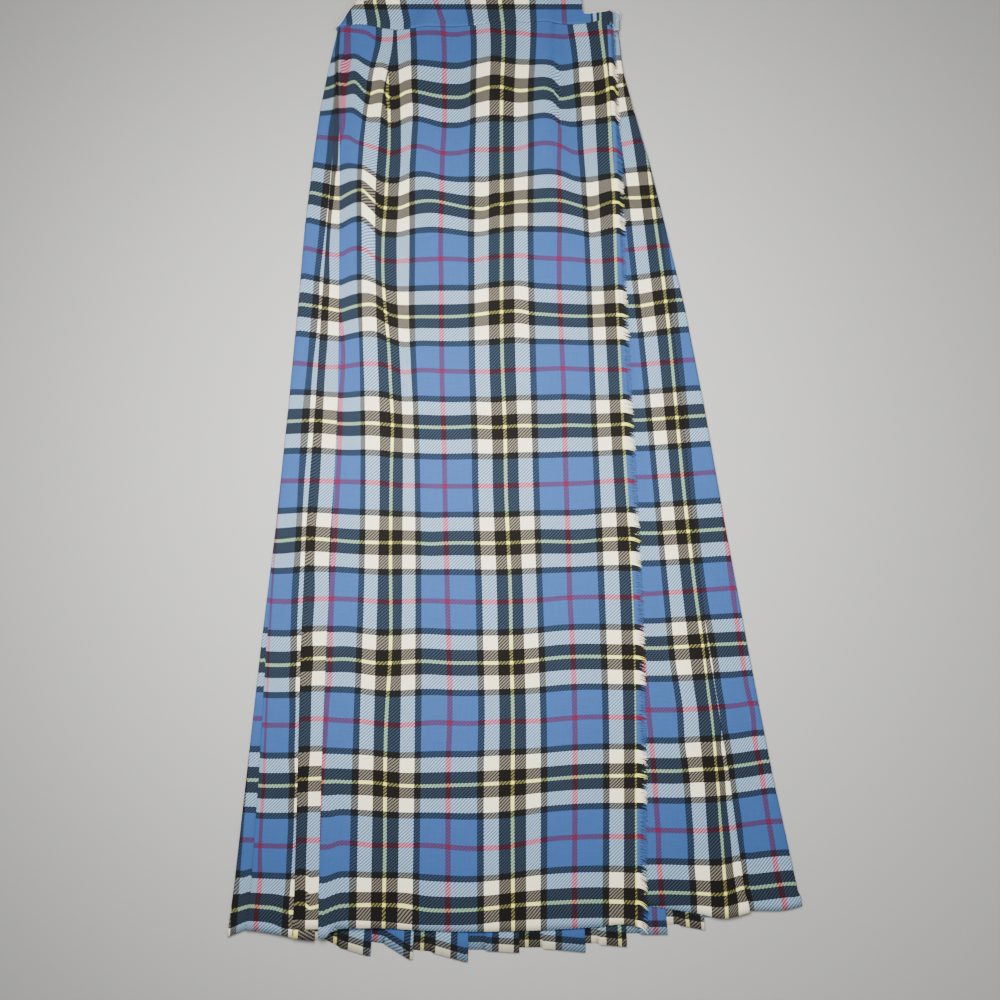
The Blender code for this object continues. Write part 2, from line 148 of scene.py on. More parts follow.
# %% Charts of the over apron
APRON_WARPS = (
    (-2.8, ((-537, -226.8), (-448, -224.8), (-421, -223.3), (-388.5, -222.3), (-372, -220.8),
        (-317, -217.3), (-272.5, -215.3), (-255.5, -213.3), (-224, -213.3), (-176.5, -212.8),
        (43.5, -205.5), (67.5, -205.5), (91, -204), (145, -205), (187.5, -212), (248.5, -215.5),
        (353.5, -216), (378.5, -215), (404, -211), (429, -212.5), (454.5, -210.5), (480, -210.5),
        (499, -206.5), (512, -206.5), (529, -206.5))),
    (2.8, ((-537, -221.2), (-448, -219.2), (-421, -217.7), (-388.5, -216.7), (-372, -215.2),
        (-317, -211.7), (-272.5, -209.7), (-255.5, -207.7), (-224, -207.7), (-176.5, -207.2),
        (43.5, -200.5), (67.5, -200.5), (91, -199), (145, -200), (187.5, -207), (248.5, -210.5),
        (310, -211.5), (378.5, -208.5), (404, -203), (429, -203), (454.5, -201.5), (480, -197.5),
        (499, -198), (529, -198.5))),
    (38.9, ((-528.5, -176), (-300.5, -175.5), (-119.5, -172.5), (43.5, -174.5), (175.5, -180),
        (261, -181.5), (341, -182.5), (423, -177), (448, -173), (467.5, -171), (512, -161),
        (527.5, -160.5))),
    (55.3, ((-528.5, -160.5), (-300.5, -159.5), (43.5, -157.5), (175.5, -163), (261, -165.5),
        (341, -165.5), (378.5, -163), (448, -158), (512, -147.5), (527.5, -147))),
    (70.5, ((-528.5, -146), (-459, -145.5), (-283.5, -145), (-239, -142), (-102, -143),
        (-9.5, -143), (38, -142), (85, -145), (133, -148), (212, -156), (261, -156.5),
        (310, -153.5), (341, -152.5), (378.5, -150.5), (420.5, -151))),
    (85.7, ((-528.5, -130.5), (-119.5, -129), (43.5, -130.5), (175.5, -137.5), (261, -139.5),
        (378.5, -135.5), (527.5, -142.5))),
    (102.1, ((-528.5, -114), (-300.5, -113), (43.5, -118), (175.5, -124.5), (261, -124.5),
        (341, -125.5), (378.5, -124), (423, -122), (448, -123.5), (512, -125.5),
        (527.5, -126.5))),
    (141, ((-528.5, -74.5), (-388.5, -75), (-344.5, -75), (-300.5, -73.5), (-165.5, -77),
        (-27, -81), (20, -82), (67.5, -84), (212, -86.5), (261, -87.5), (310, -86.5), (360, -86),
        (410, -83.5), (461, -84), (512, -85), (538, -87))),
    (211.5, ((-528.5, -2), (-388.5, -2.5), (-300.5, -2), (-210.5, -4), (-165.5, -4.5), (-27, -10),
        (20, -10.5), (115, -14), (310, -14.5), (448, -14.5), (512, -12.5), (538, -13.5))),
    (250.4, ((-528.5, 35.5), (-300.5, 36.5), (-119.5, 31.5), (67.5, 27), (310, 23.5),
        (378.5, 24.5), (448, 24.5), (512, 28), (531.5, 28.5))),
    (282, ((-528.5, 66), (-210.5, 66), (-165.5, 63.5), (-119.5, 62.5), (20, 59), (67.5, 58.5),
        (212, 53.5), (310, 55), (360, 54.5), (378.5, 55.5), (404, 56))),
    (313.6, ((-528.5, 97), (-300.5, 99.5), (-119.5, 95), (67.5, 89), (341, 79.5), (378.5, 76.5),
        (423, 75), (448, 73), (486.5, 71), (531.5, 65))),
    (337.3, ((-528.5, 120.5), (-300.5, 123), (-119.5, 119.5), (67.5, 111), (378.5, 99.5),
        (423, 98), (448, 97.5), (486.5, 94.5), (512, 92), (531.5, 88.5))),
    (352.5, ((-528.5, 135.5), (-372, 137), (-300.5, 138), (-73.5, 133), (-27, 130), (38, 127.5),
        (261, 121), (310, 120.5), (360, 117.5), (448, 114), (531.5, 105.5))),
)

APRON_WEFTS = (
    (-0.1078, ((-215.5, -526.5), (-194.5, -519.5), (-165.5, -519), (-144.5, -520), (-116.5, -523),
        (-83, -523.5), (-44.5, -523), (-16.5, -520), (72, -516.5), (105.5, -516), (128, -517),
        (139, -519))),
    (0, ((-215.5, -511.5), (-203.5, -506), (-194.5, -503), (-188, -502.5), (-148, -501.5),
        (-121, -502.5), (-101, -506.5), (-61, -507.5), (12.5, -501), (112.5, -498),
        (132.5, -499))),
    (0.5, ((-216, -439.5), (-207, -439), (-198, -435.5), (-189, -435), (-162, -437.5),
        (-88.5, -438), (-54.5, -441), (-7.5, -439), (32.5, -431.5), (93, -428), (133.5, -428))),
    (1, ((-217, -368.5), (-201.5, -368), (-190, -368.5), (-163, -369), (-129, -372.5),
        (-61.5, -372), (-7.5, -369.5), (80.5, -362.5), (134.5, -361.5))),
    (1.5, ((-287.5, -303.5), (-233, -298.5), (-191, -301), (-177.5, -301.5), (-136.5, -306),
        (-89, -303), (-48.5, -304), (-21, -302), (19.5, -301.5), (81, -297), (135.5, -297.5))),
    (2, ((-216, -233), (-192.5, -232), (-158, -236.5), (-103.5, -234.5), (-69, -236.5),
        (-48.5, -236.5), (-0.5, -236), (54, -230), (136, -230))),
    (2.5, ((-275, -166.5), (-220, -163.5), (-193.5, -164), (-145, -167.5), (-104, -166),
        (-55.5, -167.5), (27, -165.5), (61.5, -162.5), (137, -162))),
    (3, ((-266, -98), (-210.5, -96.5), (-194.5, -98), (-153, -99.5), (-118, -99.5), (-97.5, -101),
        (-76.5, -100), (-14.5, -100), (27, -98), (75.5, -98.5), (110.5, -95.5), (138, -95))),
    (3.5, ((-264, -28), (-195.5, -29), (-160.5, -30), (-133, -33), (-119, -33.5), (55.5, -31.5),
        (90, -30), (111, -28), (139, -27.5))),
    (4, ((-250.5, 43.5), (-227, 42.5), (-196.5, 39), (-168.5, 40), (-140.5, 37.5), (-70.5, 35),
        (-49.5, 36), (-21.5, 35), (6.5, 37), (42, 36.5), (63, 37.5), (91, 37), (140, 39.5))),
    (4.5, ((-258, 112.5), (-236.5, 109.5), (-215.5, 106), (-173, 110.5), (-152, 109),
        (-130.5, 100.5), (-109.5, 103), (-88.5, 102), (-46, 101), (-25, 101), (-3.5, 103),
        (17.5, 103.5), (60, 105), (81, 104), (123.5, 103.5))),
    (5, ((-253.5, 184), (-229.5, 180), (-218, 175.5), (-206, 174), (-194, 178), (-180, 181.5),
        (-164.5, 181.5), (-146.5, 169.5), (-135, 167), (-111, 167), (-64, 167.5), (-16.5, 173),
        (7, 174), (19, 171.5), (42.5, 169.5), (78, 167.5), (121.5, 169.5))),
    (5.5, ((-249, 249.5), (-234.5, 248), (-220, 242), (-206, 243), (-191.5, 250), (-177.5, 248.5),
        (-163, 237.5), (-148.5, 234.5), (-120, 236), (-63, 237), (-49, 235.5), (-34.5, 238.5),
        (-6, 241), (8.5, 241.5), (22.5, 239.5), (79.5, 236), (94, 234), (122.5, 237))),
    (6, ((-244.5, 320), (-232.5, 319), (-220.5, 315), (-210.5, 310), (-202.5, 315),
        (-190.5, 321.5), (-182, 322.5), (-172.5, 314), (-160, 301.5), (-150.5, 300),
        (-136.5, 300), (-124.5, 305), (-94.5, 309), (-82.5, 306.5), (-52.5, 300), (-34.5, 299),
        (-22.5, 304), (-10.5, 305), (1.5, 307.5), (19.5, 308.5), (57.5, 309), (82.5, 301.5),
        (91, 299), (103, 302.5), (115, 307.5))),
    (6.5, ((-232.5, 387), (-221.5, 386), (-210.5, 387.5), (-200, 388.5), (-189, 381.5),
        (-178, 378.5), (-167, 375), (-145.5, 368.5), (-134.5, 372), (-124, 376.5), (-102, 374),
        (-91.5, 369.5), (-69.5, 368), (-48, 372.5), (-37, 372.5), (-4.5, 373), (6, 374),
        (17, 377.5), (49.5, 380), (60.5, 375.5), (71, 369.5), (82, 369), (93, 372),
        (114.5, 372.5))),
    (7, ((-246.5, 435.5), (-227.5, 450.5), (-216.5, 457), (-204.5, 454.5), (-192.5, 458.5),
        (-180, 445.5), (-174, 443), (-168, 445.5), (-159.5, 447), (-150, 438), (-141.5, 438.5),
        (-131.5, 444.5), (-125.5, 446.5), (-113.5, 445), (-101.5, 442), (-77, 438.5),
        (-56.5, 440.5), (-49.5, 445), (-41, 448), (-29, 451.5), (-16.5, 452), (7.5, 447),
        (19.5, 448), (41.5, 449.5), (47.5, 446.5), (51, 442), (53.5, 438), (62, 437), (74, 440),
        (86.5, 442.5), (98.5, 443), (110.5, 447), (119, 452))),
    (7.5, ((-208, 525), (-193.5, 523.5), (-179, 521), (-167.5, 513.5), (-153, 512.5),
        (-133.5, 516), (-126.5, 518.5), (-98.5, 521.5), (-69, 519), (-54.5, 521.5), (-40, 522.5),
        (-25, 524.5), (-10.5, 521.5), (4, 521), (33.5, 517.5), (48, 517), (62.5, 516),
        (77, 518.5), (92, 520), (120, 523.5))),
)
print(len(APRON_WARPS), "warp lines and", len(APRON_WEFTS), "weft lines on the over apron")

# %% Charts of the pleats, the under apron and the waistband
LEFT_LOW_WARPS = (
    (-31.6, ((-528.5, -309), (-432, -304.5), (-278, -296), (-154, -290))),
)

LEFT_FAR_WARPS = (
    (0, ((-537, -287), (-502, -286.5), (-480.5, -284), (-448, -285.5), (-391.5, -284.5),
        (-372, -283.5), (-344.5, -283.5), (-278, -283), (-119.5, -285.5), (-21, -282.6),
        (67.5, -278.6), (109, -275.1), (145, -273.1), (181.5, -270.6), (214, -269.1),
        (267, -264.6), (310, -262.1), (372.5, -256.6), (404, -254.6), (429, -250.1),
        (473.5, -249.1))),
    (31.6, ((-537, -259.5), (-502, -258), (-480.5, -255.5), (-448, -255), (-421, -254),
        (-391.5, -254.5), (-372, -253.5), (-342.5, -255.5), (-289, -255.5), (-255.5, -257),
        (-227.5, -256), (-210.5, -256.5), (-176.5, -256), (-154, -256), (-119.5, -254),
        (67.5, -247), (109, -243.5), (145, -241.5), (181.5, -239), (214, -237.5), (267, -233),
        (310, -230.5), (372.5, -225), (404, -223), (429, -218.5), (473.5, -217.5))),
    (38.9, ((-537, -251.5), (-509.5, -251.5), (-421, -248), (-391.5, -248), (-372, -247.5),
        (-342.5, -248.5), (-289, -248.5), (-255.5, -249), (-227.5, -248), (-210.5, -248.5),
        (-119.5, -246.5), (-21, -243.5), (20, -240.5), (109, -236.5), (145, -233), (181.5, -231),
        (214, -230.5), (242.5, -228), (310, -222), (341, -220), (429, -213), (473.5, -212))),
)

LEFT_NEAR_WARPS = (
    (85.7, ((-539.5, -233), (-518, -232.5), (-480.5, -233), (-421, -232.5), (-388.5, -232),
        (-372, -232.5), (-341, -231), (-255.5, -230.5), (-227.5, -229.5), (-210.5, -230.5),
        (-154, -229), (-119.5, -230), (-21, -225.5), (109, -221.5), (145, -219.5), (163, -219.5),
        (208, -218.5), (248.5, -219.5), (285.5, -218), (322.5, -214.5), (337.5, -214),
        (353.5, -211.5), (378.5, -211), (423, -209))),
    (102.1, ((-539.5, -217), (-448, -217), (-388.5, -216), (-372, -216.5), (-341, -215),
        (-317, -215), (-255.5, -214), (-227.5, -213), (-210.5, -214), (-176.5, -213),
        (-119.5, -213.5), (-21, -209.1), (109, -205.1), (145, -203.1), (163, -203.1),
        (208, -202.1), (248.5, -203.1), (285.5, -201.6), (322.5, -198.1), (337.5, -197.6),
        (353.5, -195.1), (378.5, -194.6), (423, -192.6))),
)

UNDER_WARPS = (
    (0, ((-516, 165), (-500, 163.5), (-477.5, 162.5), (-459, 161), (-421, 160.5), (-405, 159.5),
        (-350, 156.5), (-306, 153), (-165.5, 141.5), (20, 127), (187.5, 112.5), (310, 97),
        (385, 90.5), (531.5, 75))),
    (38.9, ((-509.5, 202.5), (-480.5, 202), (-459, 200.5), (-437.5, 200.5), (-405, 199),
        (-350, 195.5), (-328, 192.5), (-289, 191), (-239, 184), (-165.5, 178), (187.5, 149),
        (385, 129), (448, 119.5), (512, 117.5))),
    (55.3, ((-509.5, 218.5), (-459, 217), (-405, 214.5), (-377.5, 213.5), (-311.5, 208.5),
        (-289, 207), (-267, 204), (-165.5, 193.5), (187.5, 164.5), (310, 152), (385, 143),
        (448, 133), (512, 131))),
    (70.5, ((-509.5, 235.5), (-437.5, 232.5), (-405, 230.5), (-377.5, 229.5), (-350, 227.5),
        (-311.5, 225.5), (-267, 220.5), (-239, 218), (-154, 207.5), (-73.5, 199.5), (212, 177),
        (310, 165.5), (385, 158), (448, 146.5), (512, 144))),
    (85.7, ((-502, 248.5), (-459, 243), (-437.5, 241.5), (-377.5, 237), (-350, 235.5),
        (-328, 233), (-289, 230), (-267, 226.5), (-165.5, 222), (20, 206), (310, 179.5),
        (512, 159))),
)

RIGHT_WARPS = (
    (109.4, ((-502, 266), (-480.5, 261), (-459, 259), (-437.5, 256.5), (-405, 254), (-377.5, 250),
        (-328, 244.5), (-311.5, 241.5), (-289, 239.5), (-267, 236), (-239, 233), (-165.5, 222),
        (-50, 210.5), (67.5, 202.5), (205.5, 190), (385, 165.5))),
    (141, ((-502, 300.5), (-459, 291), (-437.5, 288.5), (-405, 283.5), (-350, 276.5), (-328, 272),
        (-289, 269.5), (-267, 264.5), (-239, 260.5), (-50, 241), (67.5, 233), (205.5, 220.5),
        (385, 196.5))),
)

LOW_WEFTS = (
    (-0.1078, ((-316, -527.5), (-307.5, -523.5), (-297.5, -519))),
    (0, ((-314.5, -508.5), (-296, -503))),
    (0.2241, ((-310, -474), (-301, -472), (-292, -468.5))),
    (0.5, ((-305.5, -432), (-291, -432), (-285.5, -434))),
    (1, ((-303, -366.5), (-284.5, -366.5))),
    (1.5, ((-294.5, -298), (-282, -299))),
    (2, ((-292.5, -233.5), (-281, -233.5))),
    (2.5, ((-281.5, -165.5), (-275, -165.5))),
    (7, ((-230, 448), (-210.5, 456))),
)

FAR_WEFTS = (
    (-0.1078, ((-294.5, -519), (-272, -521.5), (-263, -524.5), (-258.5, -526.5), (-243, -528))),
    (0, ((-289, -503), (-281.5, -504), (-270, -504.5), (-251, -509.5), (-243.5, -509.5))),
    (0.2241, ((-286.5, -473), (-256.5, -474), (-243, -474))),
    (0.5, ((-287.5, -438), (-265, -438.5), (-241.5, -438.5))),
    (1, ((-287, -373), (-264.5, -373), (-242, -372))),
    (1.5, ((-284, -306), (-263.5, -306), (-243, -306))),
    (2, ((-283.5, -239), (-261.5, -239), (-243.5, -237.5))),
    (2.5, ((-272.5, -166.5), (-258.5, -167), (-246, -165.5))),
    (3, ((-273, -98), (-247.5, -95))),
    (3.5, ((-267.5, -28), (-239.5, -28))),
    (4, ((-263.5, 42), (-235.5, 43.5))),
    (4.5, ((-258, 111.5), (-229.5, 108.5))),
    (5, ((-256, 183), (-223.5, 178))),
    (5.5, ((-250, 251.5), (-222.5, 244))),
    (6, ((-244.5, 320), (-215.5, 312.5))),
    (6.5, ((-236, 389), (-214.5, 386.5))),
    (7, ((-230, 448), (-210.5, 456))),
)

NEAR_WEFTS = (
    (-0.1078, ((-242, -518), (-217.5, -518))),
    (0, ((-242.5, -501), (-233.5, -501), (-232.5, -502.5), (-217, -502.5))),
    (0.5, ((-240.5, -432), (-217, -432))),
    (1, ((-242, -365.5), (-217, -364.5))),
    (1.5, ((-243.5, -299), (-216, -299))),
    (2, ((-242.5, -232), (-216.5, -231))),
    (2.5, ((-240.5, -164.5), (-212, -163.5))),
    (3, ((-240.5, -94), (-210.5, -96.5))),
    (3.5, ((-234, -28), (-208.5, -28.5))),
    (4, ((-230.5, 43.5), (-205, 40.5))),
    (4.5, ((-225, 106.5), (-203.5, 106.5))),
    (5, ((-225, 178), (-204.5, 174))),
    (5.5, ((-220, 243), (-206, 241))),
    (6, ((-215.5, 312.5), (-207, 311.5))),
    (6.5, ((-213, 386.5), (-207, 386.5))),
    (7, ((-213, 456), (-204.5, 454.5))),
)

UNDER_WEFTS = (
    (-0.1078, ((148, -503), (206, -502.5), (236, -503.5), (248, -500), (258, -498.5))),
    (0, ((148, -489), (161.5, -488.5), (202.5, -489.5), (236, -489.5), (248.5, -485),
        (256.5, -481), (262, -481))),
    (0.5, ((151.5, -421), (221, -421), (247, -418))),
    (1, ((152.5, -356.5), (186.5, -356.5), (203.5, -355), (226, -354.5), (239.5, -353.5))),
    (1.5, ((153.5, -289), (182, -289), (235.5, -286))),
    (2, ((166, -219.5), (263.5, -214))),
    (2.5, ((155.5, -158.5), (213, -154.5))),
    (3, ((168, -88.5), (237.5, -84))),
    (3.5, ((157.5, -23.5), (204.5, -20))),
    (4, ((147, 43.5), (217.5, 48.5))),
    (4.5, ((148, 109), (195, 114))),
    (5, ((149, 180), (182.5, 186.5))),
    (5.5, ((138, 248.5), (174, 253.5))),
    (6, ((151, 312.5), (169, 314))),
    (6.5, ((125.5, 377.5), (153.5, 385))),
    (7, ((119, 452), (141, 456))),
    (7.5, ((111.5, 522.5), (128.5, 525))),
)

RIGHT_WEFTS = (
    (0, ((247.5, -486), (253, -482.5), (262, -483.5), (278.5, -482), (303.5, -479))),
    (0.5, ((247, -416.5), (263.5, -414.5), (280.5, -412), (297.5, -411.5))),
    (1, ((239.5, -352.5), (271, -348), (288, -344.5))),
    (1.5, ((235.5, -285.5), (250, -284.5), (267, -281.5))),
    (2, ((229, -215.5), (263.5, -214))),
    (2.5, ((213, -154.5), (253.5, -151.5))),
    (3, ((208.5, -86), (237.5, -84))),
    (3.5, ((202, -20), (233.5, -17.5))),
    (4, ((194, 47), (223, 49))),
    (4.5, ((189.5, 113.5), (207, 115))),
    (5, ((182.5, 186.5), (202.5, 188.5))),
    (5.5, ((168, 253), (188.5, 254.5))),
    (6, ((169, 314), (177.5, 315))),
)

BAND_WARPS = (
    (38.9, ((535, -196.5), (561, -200))),
    (55.3, ((535, -179), (561, -183.5))),
    (85.7, ((535, -150.5), (561, -156.5))),
    (102.1, ((535, -134), (561, -139.5))),
    (109.4, ((535, -125.5), (561, -131))),
    (141, ((535, -86), (561, -95))),
    (172.6, ((535, -55.5), (561, -60.5))),
    (179.9, ((535, -48.5), (561, -52.5))),
    (196.3, ((535, -30), (561, -34))),
    (211.5, ((535, -13.5), (561, -16.5))),
    (226.7, ((535, 3.5), (561, 1))),
    (243.1, ((535, 20.5), (561, 19))),
    (250.4, ((535, 28.5), (561, 27.5))),
    (282, ((535, 62), (561, 61))),
    (313.6, ((535, 95.5), (561, 94))),
    (352.5, ((535, 105.5), (561, 105))),
)
CHARTS = {
    "low": (LEFT_LOW_WARPS, LOW_WEFTS),
    "far": (LEFT_FAR_WARPS, FAR_WEFTS),
    "near": (LEFT_NEAR_WARPS, NEAR_WEFTS),
    "under": (UNDER_WARPS, UNDER_WEFTS),
    "right": (RIGHT_WARPS, RIGHT_WEFTS),
}
print(len(CHARTS), "more faces are charted")

# %% Read a chart
WARP_REPEAT = 0.1410
WEFT_REPEAT = 0.1355
CURVE_STEPS = 6               # pieces between two chart points
LEAST_ROOM = 0.001            # keeps lines that meet from dividing by nothing


def curve(points):
    """A smooth line through chart points, as two arrays that np.interp can read."""
    places, values = (np.array(column, dtype=float) for column in zip(*sorted(points)))
    if len(places) < 3:
        return places, values
    slopes = np.gradient(values, places)
    fine, read = [], []
    for number in range(len(places) - 1):
        width = places[number + 1] - places[number]
        for step in range(CURVE_STEPS):
            part = step / CURVE_STEPS
            rise = 3 * part ** 2 - 2 * part ** 3
            value = values[number] + (values[number + 1] - values[number]) * rise
            value += width * slopes[number] * (part - 2 * part ** 2 + part ** 3)
            value += width * slopes[number + 1] * (part ** 3 - part ** 2)
            fine.append(places[number] + width * part)
            read.append(value)
    fine.append(places[-1])
    read.append(values[-1])
    return np.array(fine), np.array(read)


def read_lines(lines, place, across, unit):
    """Value between charted lines; unit is what one millimetre adds beyond the last one."""
    values = [value for value, _ in lines]
    crossings = [np.interp(place, *curve(points)) for _, points in lines]
    result = values[0] + (across - crossings[0]) * unit
    for number in range(len(lines) - 1):
        room = np.maximum(crossings[number + 1] - crossings[number], LEAST_ROOM)
        share = (across - crossings[number]) / room
        value = values[number] + share * (values[number + 1] - values[number])
        result = np.where(across > crossings[number], value, result)
    beyond = values[-1] + (across - crossings[-1]) * unit
    return np.where(across > crossings[-1], beyond, result)


def seen_on_floor(points):
    """Where the lines from the camera through the points meet the floor, in millimetres."""
    points = np.array([tuple(point) for point in points])
    eye = np.array(tuple(CAMERA_PLACE))
    share = eye[2] / (eye[2] - points[:, 2:3])
    floor = eye + (points - eye) * share
    return floor[:, 0] * 1000, floor[:, 1] * 1000


def chart_places(chart, points):
    """The place of each point in the check, in metres along the weft and the warp."""
    warps, wefts = chart
    x, y = seen_on_floor(points)
    across = read_lines(warps, y, x, 1.0) / 1000
    up = read_lines(wefts, x, y, 0.001 / WEFT_REPEAT) * WEFT_REPEAT
    return np.stack([across, up], axis=1)


print("check repeats every", WARP_REPEAT, "by", WEFT_REPEAT, "m")

# %% [markdown]
# ## The cloth: wool tartan in 2/2 twill
# Kilt cloth is worsted wool, woven two over and two under so that fine diagonal ribs run
# through every colour. The same order of coloured yarns is used both ways, and where two
# colours cross, half of each shows. An image would fix the size of the check, so here it is
# woven by nodes: the place in the repeat picks a yarn of each set, and the twill decides
# which of the two lies on top. Fibres of both yarns felt together at the surface, and the
# yarns shade each other where they cross, so a plain average of black and white would look
# too pale. So the colours are mixed as darkness, counted in stops, and are turned back into
# light at the end: the mix holds painted shade where unlike yarns cross, and more painted
# shade between ribs of unlike colours. Loose fibres make the wool matt, with a little sheen
# and a fine fuzz over its ribs.

# %% Colours and a helper that adds nodes
THREADS_PER_REPEAT = 144     # the real cloth has about 176; finer ribs would be lost
HALF_SETT = (                # millimetres from the middle of the red line to that of the yellow
    ("red", 2.8), ("blue", 28.8), ("navy", 7.3), ("white", 16.4), ("black", 13.2),
    ("yellow", 2.0),
)
YARNS = {
    "red": "#5F1D38",
    "blue": "#315082",
    "navy": "#14161A",
    "white": "#F8EECA",
    "black": "#141210",
    "yellow": "#EBEB60",
}
STOPS = 8.0                  # darkness 1 stands for this many stops below white


def linear(code):
    """An sRGB hex colour as linear numbers with alpha."""
    parts = [int(code[place:place + 2], 16) / 255 for place in (1, 3, 5)]
    return [part / 12.92 if part <= 0.04045 else ((part + 0.055) / 1.055) ** 2.4
            for part in parts] + [1.0]


def darkness(code):
    """A colour as darkness of each channel, from 0 at white."""
    return [min(-math.log2(part) / STOPS, 1.0) for part in linear(code)[:3]] + [1.0]


def add(tree, kind, inputs, **settings):
    """Add a node with its settings. Each input is a plain value, a socket, or a whole node."""
    node = tree.nodes.new(kind)
    for name, value in settings.items():
        setattr(node, name, value)
    for socket, value in inputs.items():
        if isinstance(value, bpy.types.Node):
            value = value.outputs[0]
        if isinstance(value, bpy.types.NodeSocket):
            tree.links.new(value, node.inputs[socket])
        else:
            node.inputs[socket].default_value = value
    return node


print(len(YARNS), "yarn colours")

# %% Weave the tartan
TWILL = 4.0                  # threads in one repeat of a 2/2 twill
YARN_SHADE = 0.045           # how much yarns differ in darkness
YARN_SHIFT = 0.73            # how far apart two yarns lie in the noise
YARN_STREAK = 6.0            # streaks along a yarn in one repeat
TWILL_LEAN = 0.26            # share by which the top yarn outweighs the one below
RIB_SHADOW = 0.35            # painted shade between ribs of unlike colours
RIB_DEPTH = 0.0002
FUZZ_SCALE = 900.0           # loose fibres are about a millimetre apart
LOOSE_YARN_PAINTED_LIGHT = 0.90            # share of the weft's darkness that loose yarn keeps; the rest is painted light on the self-shaded tufts
# Warp and weft: the length of a repeat, and whether the count starts at red, 0, or yellow, 1.
SETS = ((WARP_REPEAT, 0.0), (WEFT_REPEAT, 1.0))
MATH, VECTORS = "ShaderNodeMath", "ShaderNodeVectorMath"


def yarn_set(tree, repeats, axis):
    """The warp, 0, or the weft, 1: its darkness, its yarn numbers, and its yarns' round tops."""
    place = add(tree, MATH, {0: repeats[axis], 1: 2.0, 2: SETS[axis][1]},
                operation="MULTIPLY_ADD")
    half_sett = add(tree, MATH, {0: place, 1: 1.0}, operation="PINGPONG")
    stripes = add(tree, "ShaderNodeValToRGB", {0: half_sett})
    stripes.color_ramp.interpolation = "CONSTANT"
    stops = stripes.color_ramp.elements
    total = sum(width for _, width in HALF_SETT)
    start = 0.0
    for number, (name, width) in enumerate(HALF_SETT):
        stop = stops[number] if number < 2 else stops.new(start / total)
        stop.position = start / total
        stop.color = darkness(YARNS[name])
        start += width
    thread = add(tree, MATH, {0: repeats[axis], 1: THREADS_PER_REPEAT}, operation="MULTIPLY")
    number = add(tree, MATH, {0: thread}, operation="FLOOR")
    own_place = add(tree, MATH, {0: number, 1: YARN_SHIFT}, operation="MULTIPLY")
    length = add(tree, MATH, {0: repeats[1 - axis], 1: YARN_STREAK}, operation="MULTIPLY")
    spot = add(tree, "ShaderNodeCombineXYZ", {0: own_place, 1: length})
    spots = add(tree, "ShaderNodeTexNoise", {"Vector": spot, "Scale": 1.0, "Detail": 1.0},
                noise_dimensions="2D")
    shade = add(tree, MATH, {0: spots, 1: YARN_SHADE, 2: -0.5 * YARN_SHADE},
                operation="MULTIPLY_ADD")
    colour = add(tree, VECTORS, {0: stripes, 1: shade}, operation="ADD")
    part = add(tree, MATH, {0: thread}, operation="FRACT")
    offset = add(tree, MATH, {0: part, 1: 0.5}, operation="SUBTRACT")
    square = add(tree, MATH, {0: offset, 1: offset}, operation="MULTIPLY")
    round_top = add(tree, MATH, {0: square, 1: -4.0, 2: 1.0}, operation="MULTIPLY_ADD")
    return colour, number, round_top


